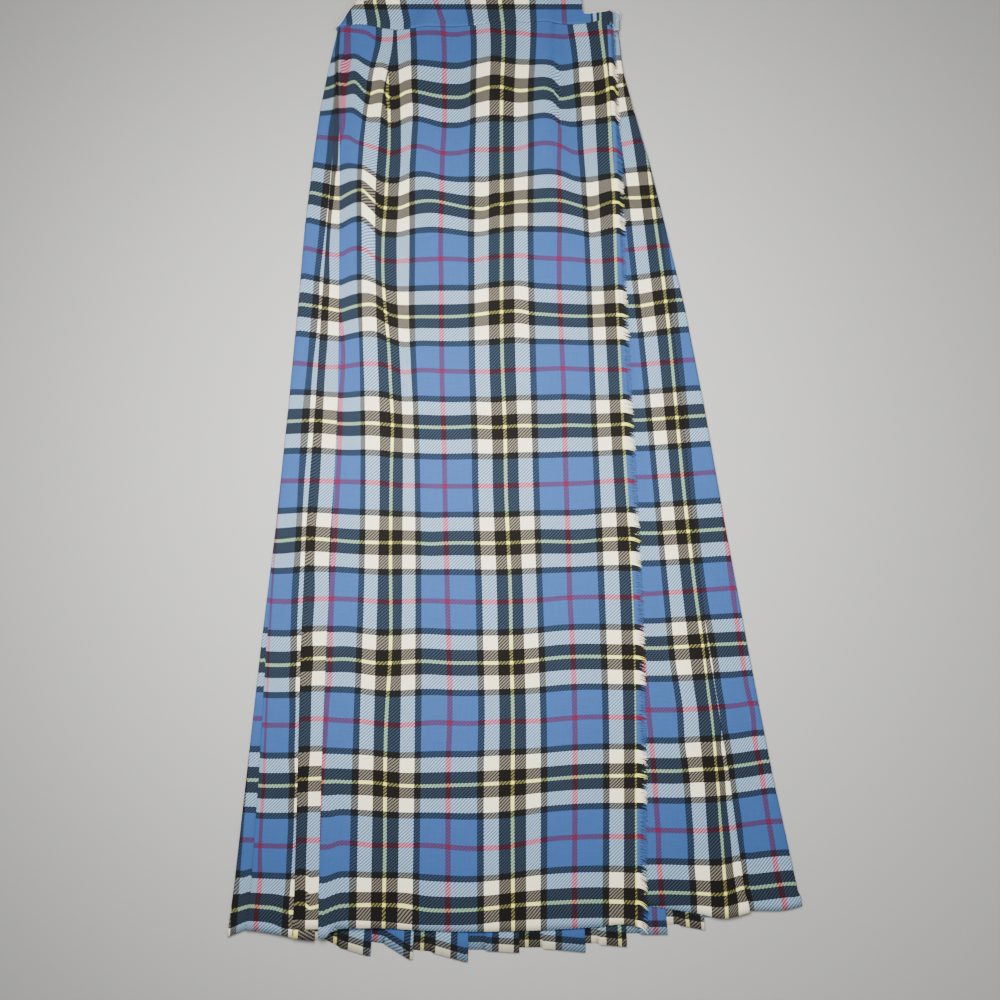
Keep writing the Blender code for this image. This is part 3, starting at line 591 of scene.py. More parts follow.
def tartan_wool(name, woven=True):
    """Wool tartan on a UV map in metres. Loose yarns take the weft's colour alone, made paler by
    painted light.
    """
    material = bpy.data.materials.new(name)
    material.use_nodes = True
    tree = material.node_tree
    shader = tree.nodes["Principled BSDF"]
    uv = add(tree, "ShaderNodeUVMap", {}, uv_map="check")
    metres = add(tree, "ShaderNodeSeparateXYZ", {0: uv})
    repeats = [add(tree, MATH, {0: metres.outputs[axis], 1: length}, operation="DIVIDE")
               for axis, (length, _) in enumerate(SETS)]
    warp, warp_number, warp_top = yarn_set(tree, repeats, 0)
    weft, weft_number, weft_top = yarn_set(tree, repeats, 1)
    difference = add(tree, MATH, {0: warp_number, 1: weft_number}, operation="SUBTRACT")
    step = add(tree, MATH, {0: difference, 1: TWILL}, operation="FLOORED_MODULO")
    warp_on_top = add(tree, MATH, {0: step, 1: TWILL / 2 - 0.5}, operation="LESS_THAN")
    if woven:
        # Mixed as darkness, so where unlike yarns cross the colour holds painted shade as well as
        # felted fibres.
        between = add(tree, VECTORS, {0: warp, 1: weft}, operation="SUBTRACT")
        lean = add(tree, MATH, {0: warp_on_top, 1: 2 * TWILL_LEAN, 2: 0.5 - TWILL_LEAN},
                   operation="MULTIPLY_ADD")
        mixed = add(tree, VECTORS, {0: between, 1: lean, 2: weft}, operation="MULTIPLY_ADD")
        # Painted shade between ribs of unlike colours, growing with the square of their
        # difference.
        squares = add(tree, VECTORS, {0: between, 1: between}, operation="MULTIPLY")
        shadow = STOPS * math.log(2) * RIB_SHADOW * TWILL_LEAN ** 2
        dark = add(tree, VECTORS, {0: squares, 1: (shadow,) * 3, 2: mixed},
                   operation="MULTIPLY_ADD")
    else:
        # Loose yarn: the weft's darkness lessened, as painted light on the self-shaded tufts.
        dark = add(tree, VECTORS, {0: weft, "Scale": LOOSE_YARN_PAINTED_LIGHT}, operation="SCALE")
    light = add(tree, VECTORS, {0: (2.0 ** -STOPS,) * 3, 1: dark}, operation="POWER")
    ribs = add(tree, "ShaderNodeMix", {"Factor": warp_on_top, "A": weft_top, "B": warp_top},
               data_type="FLOAT")
    fuzz = add(tree, "ShaderNodeTexNoise", {"Vector": uv, "Scale": FUZZ_SCALE, "Detail": 3.0},
               noise_dimensions="2D")
    relief = add(tree, MATH, {0: ribs, 1: fuzz}, operation="ADD")
    bump = add(tree, "ShaderNodeBump",
               {"Strength": 0.5, "Distance": RIB_DEPTH, "Height": relief})
    tree.links.new(light.outputs[0], shader.inputs["Base Color"])
    tree.links.new(bump.outputs[0], shader.inputs["Normal"])
    shader.inputs["Roughness"].default_value = 0.88
    shader.inputs["Specular IOR Level"].default_value = 0.08
    shader.inputs["Sheen Weight"].default_value = 0.03
    shader.inputs["Sheen Roughness"].default_value = 0.5
    return material


worsted_tartan = tartan_wool("worsted_wool_tartan_2_2_twill")
band_tartan = tartan_wool("worsted_wool_tartan_waistband")
frayed_yarn = tartan_wool("frayed_wool_yarn", woven=False)
print("ribs are", round(TWILL * WARP_REPEAT / THREADS_PER_REPEAT * 1000, 1), "mm apart")

# %% [markdown]
# ## How a sheet of cloth is made
# Each piece is described by its section: the line that the cloth follows across the skirt
# at one height y, from its hidden inner edge, round its folds, and over its visible faces.
# A grid is laid through such sections and given its thickness by Solidify. Points on a
# visible face carry the name of the face's chart. The cloth in between turns under, and
# gets its place in the check from its length, as it does on a real pleat.

# %% Folds and soft undulation
FOLD_POINTS = 5
SIDE_ROUND = 9                # points round the tall folds at the skirt's sides
WAVE_HEIGHT = 0.0007
WAVE_SCALE = 9.0              # waves are about a tenth of a metre long
# Broad and fine waves: times the scale across and along, place in the noise, and share.
WAVES = ((1, 1, 0.3, 0.5), (3, 2, 1.7, 0.25))
WAVE_START = 0.004            # height above the floor at which the waves are whole


def fold(x, low, high, side, count=FOLD_POINTS):
    """Points round a fold from one height to another; side is -1 where it faces left."""
    radius = abs(high - low) / 2
    middle = (high + low) / 2
    points = []
    for number in range(count):
        angle = math.pi * (number / (count - 1) - 0.5)
        depth = radius * (1 - math.cos(angle))
        points.append((x - side * (WALL / 2 + depth),
                       middle + (high - low) / 2 * math.sin(angle), ""))
    return points


def run(start, end, count, height, face=""):
    """Points on the way from one x to another, without the first; height may be a function."""
    points = []
    for number in range(1, count + 1):
        x = start + (end - start) * number / count
        points.append((x, height(x) if callable(height) else height, face))
    return points


def undulation(x, y, z):
    """The slight unevenness of cloth that has been worn; nothing where it lies on the floor."""
    wave = 0.5
    for across, up, place, share in WAVES:
        spot = Vector((x * WAVE_SCALE * across, y * WAVE_SCALE * up, place))
        wave += share * noise.noise(spot)
    return WAVE_HEIGHT * max(wave, 0.0) * smooth((z - WALL) / WAVE_START)


print("a fold has", FOLD_POINTS, "points")

# %% Rows and hems
# The line of each hem, as points (x, y).
HEMS = {
    "over_apron": (
        (-0.213, -0.5312), (-0.2055, -0.5300), (-0.2024, -0.5241), (-0.1861, -0.5206),
        (-0.168, -0.5211), (-0.127, -0.5241), (-0.083, -0.5265), (-0.017, -0.5265),
        (0.049, -0.5243), (0.093, -0.5215), (0.1205, -0.5190), (0.1375, -0.5220),
    ),
    "under_apron": (
        (-0.16, -0.5100), (0.204, -0.5088), (0.221, -0.5125), (0.234, -0.5125),
        (0.259, -0.5061),
    ),
    "left_pleats": (
        (-0.318, -0.5340), (-0.310, -0.5307), (-0.296, -0.5254), (-0.275, -0.5273),
        (-0.257, -0.5304), (-0.2415, -0.5336), (-0.2340, -0.5344), (-0.2270, -0.5380),
        (-0.218, -0.5340), (-0.200, -0.5335),
    ),
    "near_pleat": ((-0.2440, -0.5230), (-0.2000, -0.5225)),
    "right_pleat": ((0.220, -0.5080), (0.265, -0.5056), (0.303, -0.5042), (0.318, -0.4999)),
}
HEM_BLEND = 0.060             # the way on which the rows turn into the hem's line


def rows_of(section_at, heights, hem):
    """Rows of (point, face) from the hem to the waist; the lowest rows follow the hem."""
    rows = []
    for y in heights:
        fade = smooth(1 - (y - HEM_Y) / HEM_BLEND)
        section = section_at(y)
        places = hem(section)
        row = []
        for (x, z, face), place in zip(section, places):
            shifted = y + (place - HEM_Y) * fade
            row.append((Vector((x, shifted, z + undulation(x, shifted, z))), face))
        rows.append(row)
    return rows


def hem_of(name):
    """The hem of a piece, as a function that rows_of can use."""
    places, values = curve(HEMS[name])
    return lambda section: np.interp([point[0] for point in section], places, values)


print(len(HEMS), "hems have a line of their own")

def lengths_along(row):
    """Length of the cloth from the start of a row to each of its points."""
    return np.cumsum([0.0] + [(b[0] - a[0]).length for a, b in zip(row, row[1:])])


def hidden_places(row_places, known, lengths):
    """Fill in the places of hidden points of one row, by length along the cloth."""
    filled = row_places.copy()
    anchors = np.flatnonzero(known)
    for axis in (0, 1):
        values = row_places[anchors, axis]
        filled[:, axis] = np.interp(lengths, lengths[anchors], values)
    sign = 1.0 if row_places[anchors[-1], 0] >= row_places[anchors[0], 0] else -1.0
    before = np.arange(len(lengths)) < anchors[0]
    after = np.arange(len(lengths)) > anchors[-1]
    filled[before, 0] += sign * (lengths[before] - lengths[anchors[0]])
    filled[after, 0] += sign * (lengths[after] - lengths[anchors[-1]])
    return filled


def whole_repeats(places, known, lengths):
    """Shift each charted face by whole repeats, so that hidden cloth keeps its length."""
    shifted = places.copy()
    anchors = np.flatnonzero(known)
    sign = 1.0 if shifted[anchors[1], 0] >= shifted[anchors[0], 0] else -1.0
    for last, this in zip(anchors, anchors[1:]):
        if this == last + 1:
            continue
        wanted = shifted[last, 0] + sign * (lengths[this] - lengths[last])
        turns = round((wanted - shifted[this, 0]) / WARP_REPEAT)
        shifted[this:, 0] += turns * WARP_REPEAT
    return shifted


def sheet_places(rows, charts):
    """Places in the check for rows of points, as an array (row, column, 2)."""
    faces = [face for _, face in rows[0]]
    points = [point for row in rows for point, _ in row]
    shape = (len(rows), len(faces), 2)
    places = np.zeros(shape)
    for face in sorted(set(faces) - {""}):
        read = chart_places(charts[face], points).reshape(shape)
        columns = [number for number, name in enumerate(faces) if name == face]
        places[:, columns] = read[:, columns]
    known = np.array([face != "" for face in faces])
    turns = None
    for number, row in enumerate(rows):
        lengths = lengths_along(row)
        if turns is None:
            moved = whole_repeats(places[number], known, lengths)
            turns = moved[:, 0] - places[number][:, 0]
        places[number][:, 0] += turns
        places[number] = hidden_places(places[number], known, lengths)
    return places


print("places in the check are in metres")

# %% Lay a grid through the rows
def flat_size(rows):
    """Width and length of the cloth in a sheet, measured along its middle row and column."""
    middle = rows[len(rows) // 2]
    column = [row[len(row) // 2][0] for row in rows]
    width = sum((b[0] - a[0]).length for a, b in zip(middle, middle[1:]))
    length = sum((b - a).length for a, b in zip(column, column[1:]))
    return round(width, 3), round(length, 3)


def make_object(name, shape, material):
    """Turn a bmesh into an object at the origin, with its material."""
    mesh = bpy.data.meshes.new(name)
    shape.to_mesh(mesh)
    shape.free()
    mesh.materials.append(material)
    made = bpy.data.objects.new(name, mesh)
    bpy.context.scene.collection.objects.link(made)
    return made


def make_sheet(name, rows, corner_place, wall, material):
    """A sheet of cloth through rows of points, with its check and its thickness."""
    across, up = len(rows[0]), len(rows)
    shape = bmesh.new()
    bmesh.ops.create_grid(shape, x_segments=across - 1, y_segments=up - 1, size=1.0)
    vertices = sorted(shape.verts, key=lambda vertex: (round(vertex.co.y, 5), vertex.co.x))
    cells = {}
    for number, vertex in enumerate(vertices):
        cells[vertex] = divmod(number, across)
    layer = shape.loops.layers.uv.new("check")
    for face in shape.faces:
        columns = [cells[vertex][1] for vertex in face.verts]
        for corner in face.loops:
            row, column = cells[corner.vert]
            corner[layer].uv = corner_place(row, column, min(columns))
        face.smooth = True
    for vertex in vertices:
        row, column = cells[vertex]
        vertex.co = rows[row][column][0]
    piece = make_object(name, shape, material)
    solidify = piece.modifiers.new("thickness", "SOLIDIFY")
    solidify.thickness = wall
    solidify.offset = 0.0
    solidify.use_even_offset = True
    solidify.use_quality_normals = True
    print(name, across, "by", up, "points, cloth", flat_size(rows), "m")
    return piece


def place_piece(piece, node, flat=None):
    """Give a finished piece its body and hide its solid; flat, its flat size, is not used."""
    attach(piece, "root")
    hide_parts(node)


def heights_between(start, end, count, crowding=1.0):
    """Heights of rows; a crowding above 1 draws them together towards the waist."""
    return [start + (end - start) * (1 - (1 - number / (count - 1)) ** crowding)
            for number in range(count)]


PANEL_ROWS = heights_between(HEM_Y, TOP_Y, 120)


def make_panel(node, section_at, hem):
    """A whole panel in place of its node: its rows, its check and its sheet."""
    rows = rows_of(section_at, PANEL_ROWS, hem)
    places = sheet_places(rows, CHARTS)
    panel = make_sheet(node + "_cloth", rows, lambda row, column, _: places[row, column],
                       WALL, worsted_tartan)
    place_piece(panel, node, flat_size(rows))
    return panel


print(len(PANEL_ROWS), "rows in a panel")

# %% [markdown]
# ## The back
# The back is one run of knife pleats. Seen from the front only its hem shows, in steps,
# below the aprons. Each pleat is a face on the floor, a riser, and two hidden layers. Cloth
# simulation would let pleats slip, and a maker lays them to a line, so they are drawn: a
# table gives each inner fold and the steps of the hem, and all of them draw together
# towards the waist.

# %% Back pleats
# Back pleats at the hem: x of the inner fold, y of the hem where the pleat comes out, at the
# head of its riser and at that fold, then an x on its face and the check there, in millimetres.
BACK_PLEATS = (
    (-0.2620, -0.5250, -0.5280, -0.5290, -0.290, 109.4),
    (-0.2120, -0.5290, -0.5330, -0.5370, -0.240, 211.5),
    (-0.1595, -0.5375, -0.5455, -0.5540, -0.1995, 211.5),
    (-0.1130, -0.5405, -0.5425, -0.5580, -0.1552, 282.0),
    (-0.0520, -0.5490, -0.5510, -0.5606, -0.1030, 352.5),
    (0.0045, -0.5492, -0.5492, -0.5508, -0.0100, 470.1),
    (0.0777, -0.5466, -0.5466, -0.5503, 0.0130, 493.5),
    (0.1235, -0.5423, -0.5423, -0.5444, 0.1160, 634.5),
    (0.1686, -0.5317, -0.5317, -0.5317, 0.1555, 705.0),
    (0.2102, -0.5222, -0.5222, -0.5264, 0.1910, 775.5),
    (0.2480, -0.5147, -0.5147, -0.5121, 0.2300, 892.0),
)
BACK_HIDE = 0.003             # how much higher the hidden layers of a back pleat end
BACK_RIGHT_HEM = -0.4950
BACK_CLEARANCE = 0.0025
BACK_DEPTH = 0.60             # depth of a back pleat, as a share of its face
RISER_FOOT = 0.0045
RISER_HEAD = 0.0018
BACK_RUN = 4
BACK_ROUND = FOLD_POINTS // 2 + 1
BACK_TOP_END = 0.004          # where a top layer's straight run ends before its inner fold
BACK_HEM_PLACE = 0.0222       # place of the back's hem in the check
BACK_INSET = SIDE_TUCK + BACK_CLEARANCE


def back_ends(y):
    """X of the back's two ends at a height y."""
    return edge("left", y) + BACK_INSET, edge("right", y) - BACK_INSET


def back_x(hem_x, y):
    """X at a height y of a line of the back that starts at hem_x; all of them draw together."""
    left_hem, right_hem = back_ends(HEM_Y)
    left, right = back_ends(y)
    return left + (hem_x - left_hem) * (right - left) / (right_hem - left_hem)


def back_section(y):
    """The back, seen from inside: knife pleats whose faces lie on the floor."""
    floor, middle, top = (level(BACK_LEVEL + number) for number in range(3))
    inner_fold, right = back_ends(y)
    section = []
    for number, (fold_x, *_) in enumerate(BACK_PLEATS):
        face, start = str(number), inner_fold
        inner_fold = back_x(fold_x, y)
        outer_fold = inner_fold - BACK_DEPTH * (inner_fold - start)
        section += [(start, floor, face)]
        section += run(start, outer_fold - RISER_FOOT, BACK_RUN, floor, face)
        section += [(outer_fold - RISER_HEAD, top, face)]
        section += run(outer_fold - RISER_HEAD, inner_fold - BACK_TOP_END, BACK_RUN, top, face)
        turn = fold(inner_fold, top, middle, 1)
        section += [(x, z, face) for x, z, _ in turn[:BACK_ROUND]] + turn[BACK_ROUND:]
        section += fold(outer_fold, middle, floor, -1)
    section += run(section[-1][0], right, BACK_RUN, floor, face)
    return section


def back_hem(section):
    """Y of the back's hem for each point of its section: each pleat is a step."""
    places = []
    for _, start_y, head_y, fold_y, *_ in BACK_PLEATS:
        places += list(np.linspace(start_y, head_y, BACK_RUN + 1))
        places += list(np.linspace(head_y, fold_y, BACK_RUN + 1))
        places += [fold_y] * FOLD_POINTS + [head_y + BACK_HIDE] * FOLD_POINTS
    hem = BACK_PLEATS[-1][3]
    places += [hem + (BACK_RIGHT_HEM - hem) * part / BACK_RUN
               for part in range(1, BACK_RUN + 1)]
    assert len(places) == len(section)
    return places


BACK_HEIGHTS = PANEL_ROWS[::2] + [TOP_Y]
back_rows = rows_of(back_section, BACK_HEIGHTS, back_hem)
back_known = np.array([face != "" for _, face in back_rows[0]])
back_places = np.zeros((len(back_rows), len(back_known), 2))
for y, row, places in zip(BACK_HEIGHTS, back_rows, back_places):
    marks = [(back_x(mark_x, y), place / 1000) for *_, mark_x, place in BACK_PLEATS]
    for column, (point, face) in enumerate(row):
        if face:
            mark, place = marks[int(face)]
            places[column, 0] = place + point.x - mark
        places[column, 1] = BACK_HEM_PLACE + point.y - back_rows[0][column][0].y
    places[:] = hidden_places(places, back_known, lengths_along(row))
back = make_sheet("back_pleats_cloth", back_rows,
                  lambda row, column, _: back_places[row, column], WALL, worsted_tartan)
place_piece(back, "back_pleats", flat_size(back_rows))

# %% [markdown]
# ## The left side
# At the left the cloth comes forward from the back and lies in two knife pleats, each a
# little further in than the one below. Near the waist the lowest layer hides behind them.
# One section through all its layers keeps the cloth in one piece, with no edge at a fold.

# %% Left pleats
PLEAT_DEPTH = 0.85            # depth of a side pleat, as a share of its face
LEAST_DEPTH = 0.012
LOW_POINTS, FAR_POINTS, NEAR_POINTS = 5, 10, 10
LOW_REACH, FAR_REACH = 0.5, 0.4     # how far a face runs on under the next, in pleat depths


def left_pleats_section(y):
    """From under the back, round the left side, and through two knife pleats."""
    left = edge("left", y)
    far = edge("far_fold", y)
    near = edge("near_fold", y)
    apron = edge("apron_fold", y)
    far_depth = max(PLEAT_DEPTH * (near - far), LEAST_DEPTH)
    near_depth = max(PLEAT_DEPTH * (apron - near), LEAST_DEPTH)
    base = SIDE_LEVEL
    section = [(left + SIDE_TUCK, level(BACK_LEVEL), "")]
    section += fold(left, level(BACK_LEVEL), level(base), -1, SIDE_ROUND)
    section += run(section[-1][0], far + LOW_REACH * far_depth, LOW_POINTS, level(base), "low")
    section += fold(far + far_depth, level(base), level(base + 1), 1)
    section += fold(far, level(base + 1), level(base + 2), -1)
    section += run(section[-1][0], near + FAR_REACH * near_depth, FAR_POINTS,
                   level(base + 2), "far")
    section += fold(near + near_depth, level(base + 2), level(base + 3), 1)
    section += fold(near, level(base + 3), level(base + 4), -1)
    section += run(section[-1][0], apron + TURN_UNDER, NEAR_POINTS, level(base + 4), "near")
    return section


def left_pleats_hem(section):
    """The hem of the left pleats; the face of the nearer one is shorter than the rest."""
    places = hem_of("left_pleats")(section)
    face = NEAR_POINTS + FOLD_POINTS // 2
    places[-face:] = hem_of("near_pleat")(section[-face:])
    return places


left_pleats = make_panel("left_pleats", left_pleats_section, left_pleats_hem)

# %% [markdown]
# ## The right side and the under apron
# At the right one layer comes round from the back and goes in under the under apron, whose
# own fold shows beside the fringe as a long slanting edge. Both are made as the left side
# is. The under apron comes down behind its fold and lies on the back, so that the over
# apron can lie nearly flat over both.

# %% Right pleat
RIGHT_POINTS = 12
RIGHT_FACE_END = 0.002        # where the face ends before the under apron's fold
RIGHT_LEAST_FACE = 0.0015     # and before the skirt's side, near the waist


def right_pleat_section(y):
    """From under the back, round the right side, and in under the under apron."""
    right = edge("right", y)
    side = edge("side_fold", y)
    section = [(right - SIDE_TUCK, level(BACK_LEVEL), "")]
    section += fold(right, level(BACK_LEVEL), level(SIDE_LEVEL), 1, SIDE_ROUND)
    section += run(section[-1][0], min(side, right - RIGHT_LEAST_FACE) - RIGHT_FACE_END,
                   RIGHT_POINTS, level(SIDE_LEVEL), "right")
    section += run(section[-1][0], side - TURN_UNDER, 2, level(SIDE_LEVEL))
    return section


right_pleat = make_panel("right_pleat", right_pleat_section, hem_of("right_pleat"))

# %% Under apron
UNDER_LEVEL_END = 0.004
UNDER_INNER_EDGE = 1.6
UNDER_FALL = 0.018            # the way on which the under apron comes down on the back
UNDER_MIDDLE = 0.10           # where the points begin to lie further apart
UNDER_POINTS = (10, 8, 12, 16)


def under_height(x, y):
    """Height of the under apron's cloth."""
    start = edge("side_fold", y) - TURN_UNDER - UNDER_LEVEL_END
    share = smooth((start - x) / UNDER_FALL)
    return level(UNDER_LEVEL) + (level(SIDE_LEVEL) - level(UNDER_LEVEL)) * share


def under_apron_section(y):
    """A fold at the right, and the panel that runs left on the back pleats."""
    side = edge("side_fold", y)
    start = side - TURN_UNDER - UNDER_LEVEL_END
    inner = edge("apron_fold", y) + UNDER_INNER_EDGE * TURN_UNDER

    def height(x):
        return under_height(x, y)

    section = [(side - TURN_UNDER + FOLD_END, level(UNDER_LEVEL - 1), "")]
    section += fold(side, level(UNDER_LEVEL - 1), level(UNDER_LEVEL), 1)
    stops = (section[-1][0], start, start - UNDER_FALL, start - UNDER_MIDDLE, inner)
    for begin, end, count in zip(stops, stops[1:], UNDER_POINTS):
        section += run(begin, end, count, height, "under")
    return section


under_apron = make_panel("under_apron", under_apron_section, hem_of("under_apron"))

# %% [markdown]
# ## The over apron
# The over apron is the face of the skirt: flat below, and shaped at the waist by two darts.
# A dart takes a wedge of cloth away, so the check jumps across it. The grid has a column of
# points along each dart, and the faces on its two sides read the chart separately.

# %% Shape of the over apron
# Soft ridges below the waist: x at the waist and at the foot, y of the foot, half width, height.
RIDGES = (
    (-0.185, -0.180, 0.020, 0.020, 0.0050),
    (-0.108, -0.112, 0.130, 0.022, 0.0060),
    (-0.010, -0.014, 0.100, 0.028, 0.0100),
    (0.038, 0.044, 0.140, 0.020, 0.0080),
    (0.112, 0.118, 0.160, 0.020, 0.0090),
)
APRON_MIDDLE_Z = 0.0070
APRON_RIGHT_Z = 0.0098
LEFT_FALL = 0.060             # the way down from the pleats to the middle
RIGHT_RISE = 0.030            # and up again on the under apron's fold
WAIST_LIFT = 0.0062           # how much higher the seam runs right of the left dart
WAIST_LIFT_X = (-0.135, -0.050)
WAIST_LIFT_Y = 0.440
# Darts: points (y, x), from the waist down. Below its end a dart's line only guides the grid.
LEFT_DART = (
    (0.5275, -0.1435), (0.499, -0.147), (0.4735, -0.1515), (0.448, -0.155),
    (0.4205, -0.155), (0.3725, -0.154), (0.310, -0.1545), (0.236, -0.151),
    (0.163, -0.1445), (0.0675, -0.135), (0.020, -0.1215), (-0.050, -0.1115),
    (-0.1195, -0.1075), (-0.5285, -0.102),
)
RIGHT_DART = (
    (0.5315, 0.0505), (0.442, 0.051), (0.404, 0.056), (0.3725, 0.065), (0.310, 0.0815),
    (0.1875, 0.0875), (0.0675, 0.091), (-0.1655, 0.0945), (-0.5285, 0.0945),
)
DART_HEIGHT = 0.010           # height of the cloth at the darts, for reading their charts
LEFT_DART_END = 0.423
RIGHT_DART_END = 0.404
DART_GROOVE = 0.0014
DART_HALF_WIDTH = 0.0035
DART_FADE = 0.040             # the way on which a groove runs out, half of it below the end
CREASE_STEP = 0.0016
CREASE_HALF_WIDTH = 0.007
CREASE_REACH = 3.0            # half widths over which the raised side comes down again
CREASE_FADE_IN = (0.40, 0.30)       # heights of the skirt, from none to whole
CREASE_FADE_OUT = (-0.14, 0.02)
APRON_COLUMNS = (26, 62, 22)


def waist_lift(x, y):
    """How much further up the front's cloth lies, since its seam isn't level."""
    start, end = WAIST_LIFT_X
    lift = WAIST_LIFT * smooth((x - start) / (end - start))
    if y > SEAM_Y:
        return lift * max(0.0, 1 - (y - SEAM_Y) / BAND_HEIGHT)
    return lift * smooth((y - WAIST_LIFT_Y) / (SEAM_Y - WAIST_LIFT_Y))


def dart_x(dart, y):
    """X of a dart at a height of the skirt, on the raised cloth."""
    share = (CAMERA_PLACE.z - DART_HEIGHT) / CAMERA_PLACE.z
    seen_y = CAMERA_PLACE.y + (y - CAMERA_PLACE.y) / share
    seen_x = float(np.interp(seen_y, *curve(dart)))
    return CAMERA_PLACE.x + (seen_x - CAMERA_PLACE.x) * share


def ridge_height(x, y):
    """Height that the soft ridges add to the over apron."""
    total = 0.0
    for waist_x, foot_x, foot_y, half_width, height in RIDGES:
        share = (y - foot_y) / (SEAM_Y - foot_y)
        if share <= 0:
            continue
        middle = foot_x + (waist_x - foot_x) * share
        offset = (x - middle) / half_width
        total += height * smooth(share) * math.exp(-offset * offset)
    return total


def apron_height(x, y):
    """Height of the over apron's cloth, without its darts."""
    from_left = x - (edge("apron_fold", y) + TURN_UNDER)
    fall = smooth(from_left / LEFT_FALL)
    height = level(APRON_LEVEL) + (APRON_MIDDLE_Z - level(APRON_LEVEL)) * fall
    from_right = edge("side_fold", y) - TURN_UNDER - UNDER_FALL - RIGHT_RISE - x
    rise = 1 - smooth((from_right + RIGHT_RISE) / RIGHT_RISE)
    height += (APRON_RIGHT_Z - APRON_MIDDLE_Z) * rise
    return height + ridge_height(x, y)


def dart_relief(x, y):
    """The narrow valleys at the darts, and the soft crease below the left one."""
    relief = 0.0
    for dart, end in ((LEFT_DART, LEFT_DART_END), (RIGHT_DART, RIGHT_DART_END)):
        offset = (x - dart_x(dart, y)) / DART_HALF_WIDTH
        depth = smooth((y - end) / DART_FADE + 0.5)
        relief -= DART_GROOVE * depth * math.exp(-offset * offset)
    offset = (x - dart_x(LEFT_DART, y)) / CREASE_HALF_WIDTH
    crease = CREASE_STEP
    for none, whole in (CREASE_FADE_IN, CREASE_FADE_OUT):
        crease *= smooth((y - none) / (whole - none))
    return relief + crease * (0.5 - 0.5 * math.tanh(offset)) * math.exp(
        -offset ** 2 / (2 * CREASE_REACH ** 2))


def over_apron_section(y):
    """A turned fold at the left, and the face of the apron up to its fringe."""
    left = edge("apron_fold", y)
    right = edge("apron_edge", y)
    section = [(left + TURN_UNDER - FOLD_END, level(APRON_LEVEL - 1), "")]
    folded = fold(left, level(APRON_LEVEL - 1), level(APRON_LEVEL), -1)
    lift = ridge_height(left, y)
    section += [(x, z + lift * (z - folded[0][1]) / STEP, "") for x, z, _ in folded]

    def height(x):
        return apron_height(x, y) + dart_relief(x, y)

    stops = (folded[-1][0], dart_x(LEFT_DART, y), dart_x(RIGHT_DART, y), right)
    for start, end, count in zip(stops, stops[1:], APRON_COLUMNS):
        section += run(start, end, count, height, "apron")
    return section


print("over apron has", sum(APRON_COLUMNS), "columns on its face")

# %% Check of the over apron, on either side of its darts
LEFT_SIDE = (-2.8, 2.8, 38.9, 55.3)
MIDDLE = (85.7, 102.1, 141, 211.5, 250.4)
RIGHT_SIDE = (313.6, 337.3, 352.5)
APRON_ROWS = 170
APRON_CROWDING = 1.35         # the rows lie closer near the waist, where the cloth is shaped
DART_JUMP = (-0.012, 0.004)   # heights over a dart's end: none and all of the check's jump
first_face_column = 1 + FOLD_POINTS
left_dart_column = first_face_column + APRON_COLUMNS[0] - 1
right_dart_column = left_dart_column + APRON_COLUMNS[1]

apron_rows = rows_of(over_apron_section,
                     heights_between(HEM_Y, TOP_Y, APRON_ROWS, APRON_CROWDING),
                     hem_of("over_apron"))
apron_points = [point for row in apron_rows for point, _ in row]
for point in apron_points:
    point.y += waist_lift(point.x, point.y)
apron_places = sheet_places(apron_rows, {"apron": (APRON_WARPS, APRON_WEFTS)})


def side_places(side):
    """Places of the apron's points when only one side's warp lines are read."""
    lines = [line for line in APRON_WARPS if line[0] in side]
    return chart_places((lines, APRON_WEFTS), apron_points).reshape(apron_places.shape)


SIDES = [side_places(side) for side in (LEFT_SIDE, MIDDLE, RIGHT_SIDE)]


def apron_corner(row, column, first_column):
    whole = apron_places[row, column]
    if first_column < first_face_column:
        return whole
    point = apron_rows[row][column][0]
    region = (first_column >= left_dart_column) + (first_column >= right_dart_column)
    nearer_left = column < (left_dart_column + right_dart_column) / 2
    end = LEFT_DART_END if nearer_left else RIGHT_DART_END
    share = smooth((point.y - end - DART_JUMP[0]) / (DART_JUMP[1] - DART_JUMP[0]))
    return whole + (SIDES[region][row, column] - whole) * share


over_apron = make_sheet("over_apron_cloth", apron_rows, apron_corner, WALL, worsted_tartan)

# %% [markdown]
# ## The fringe
# The free edge of the apron is fringed: its warp threads were drawn out, and the weft yarns
# stick out sideways, each in its own colour. They lean towards the hem and lie on the
# under apron. Hair would be quicker to comb, but it isn't a mesh. So every tuft starts as a
# short prism at the edge and is extruded step by step along its own path.

# %% Frayed edge
FRINGE_TUFTS = 1080
FRINGE_TOP = 0.5100
FRINGE_START = 0.001          # height of the lowest tuft over the hem
TUFT_RADIUS = 0.00055
TUFT_STEPS = 5
TUFT_ROOT = 0.0024            # how far inside the edge the tufts come out of the cloth
TUFT_REACH = (0.0098, 0.0128)
TUFT_DROOP = ((-0.535, 0.0080), (-0.47, 0.0062), (-0.40, 0.0036), (0.20, 0.0022), (0.51, 0.0015))
TUFT_BEND = 1.8               # the power that turns a tuft down towards its tip
TUFT_STRAY = 0.0008
TUFT_TAPER = 0.6
TUFT_SPREAD = 0.7             # how far apart two tufts lie in the noise
TUFT_SHIFTS = (0.1, 9.3, 17.7)      # places in the noise for reach, droop and stray
TUFT_SETTLE = (0.25, 0.875)   # parts of a tuft between which it comes down on the cloth
TUFT_CLEARANCE = 0.0006
APRON_WAVE_Z = 0.010          # heights at which the two aprons' waves are whole
UNDER_WAVE_Z = 0.008


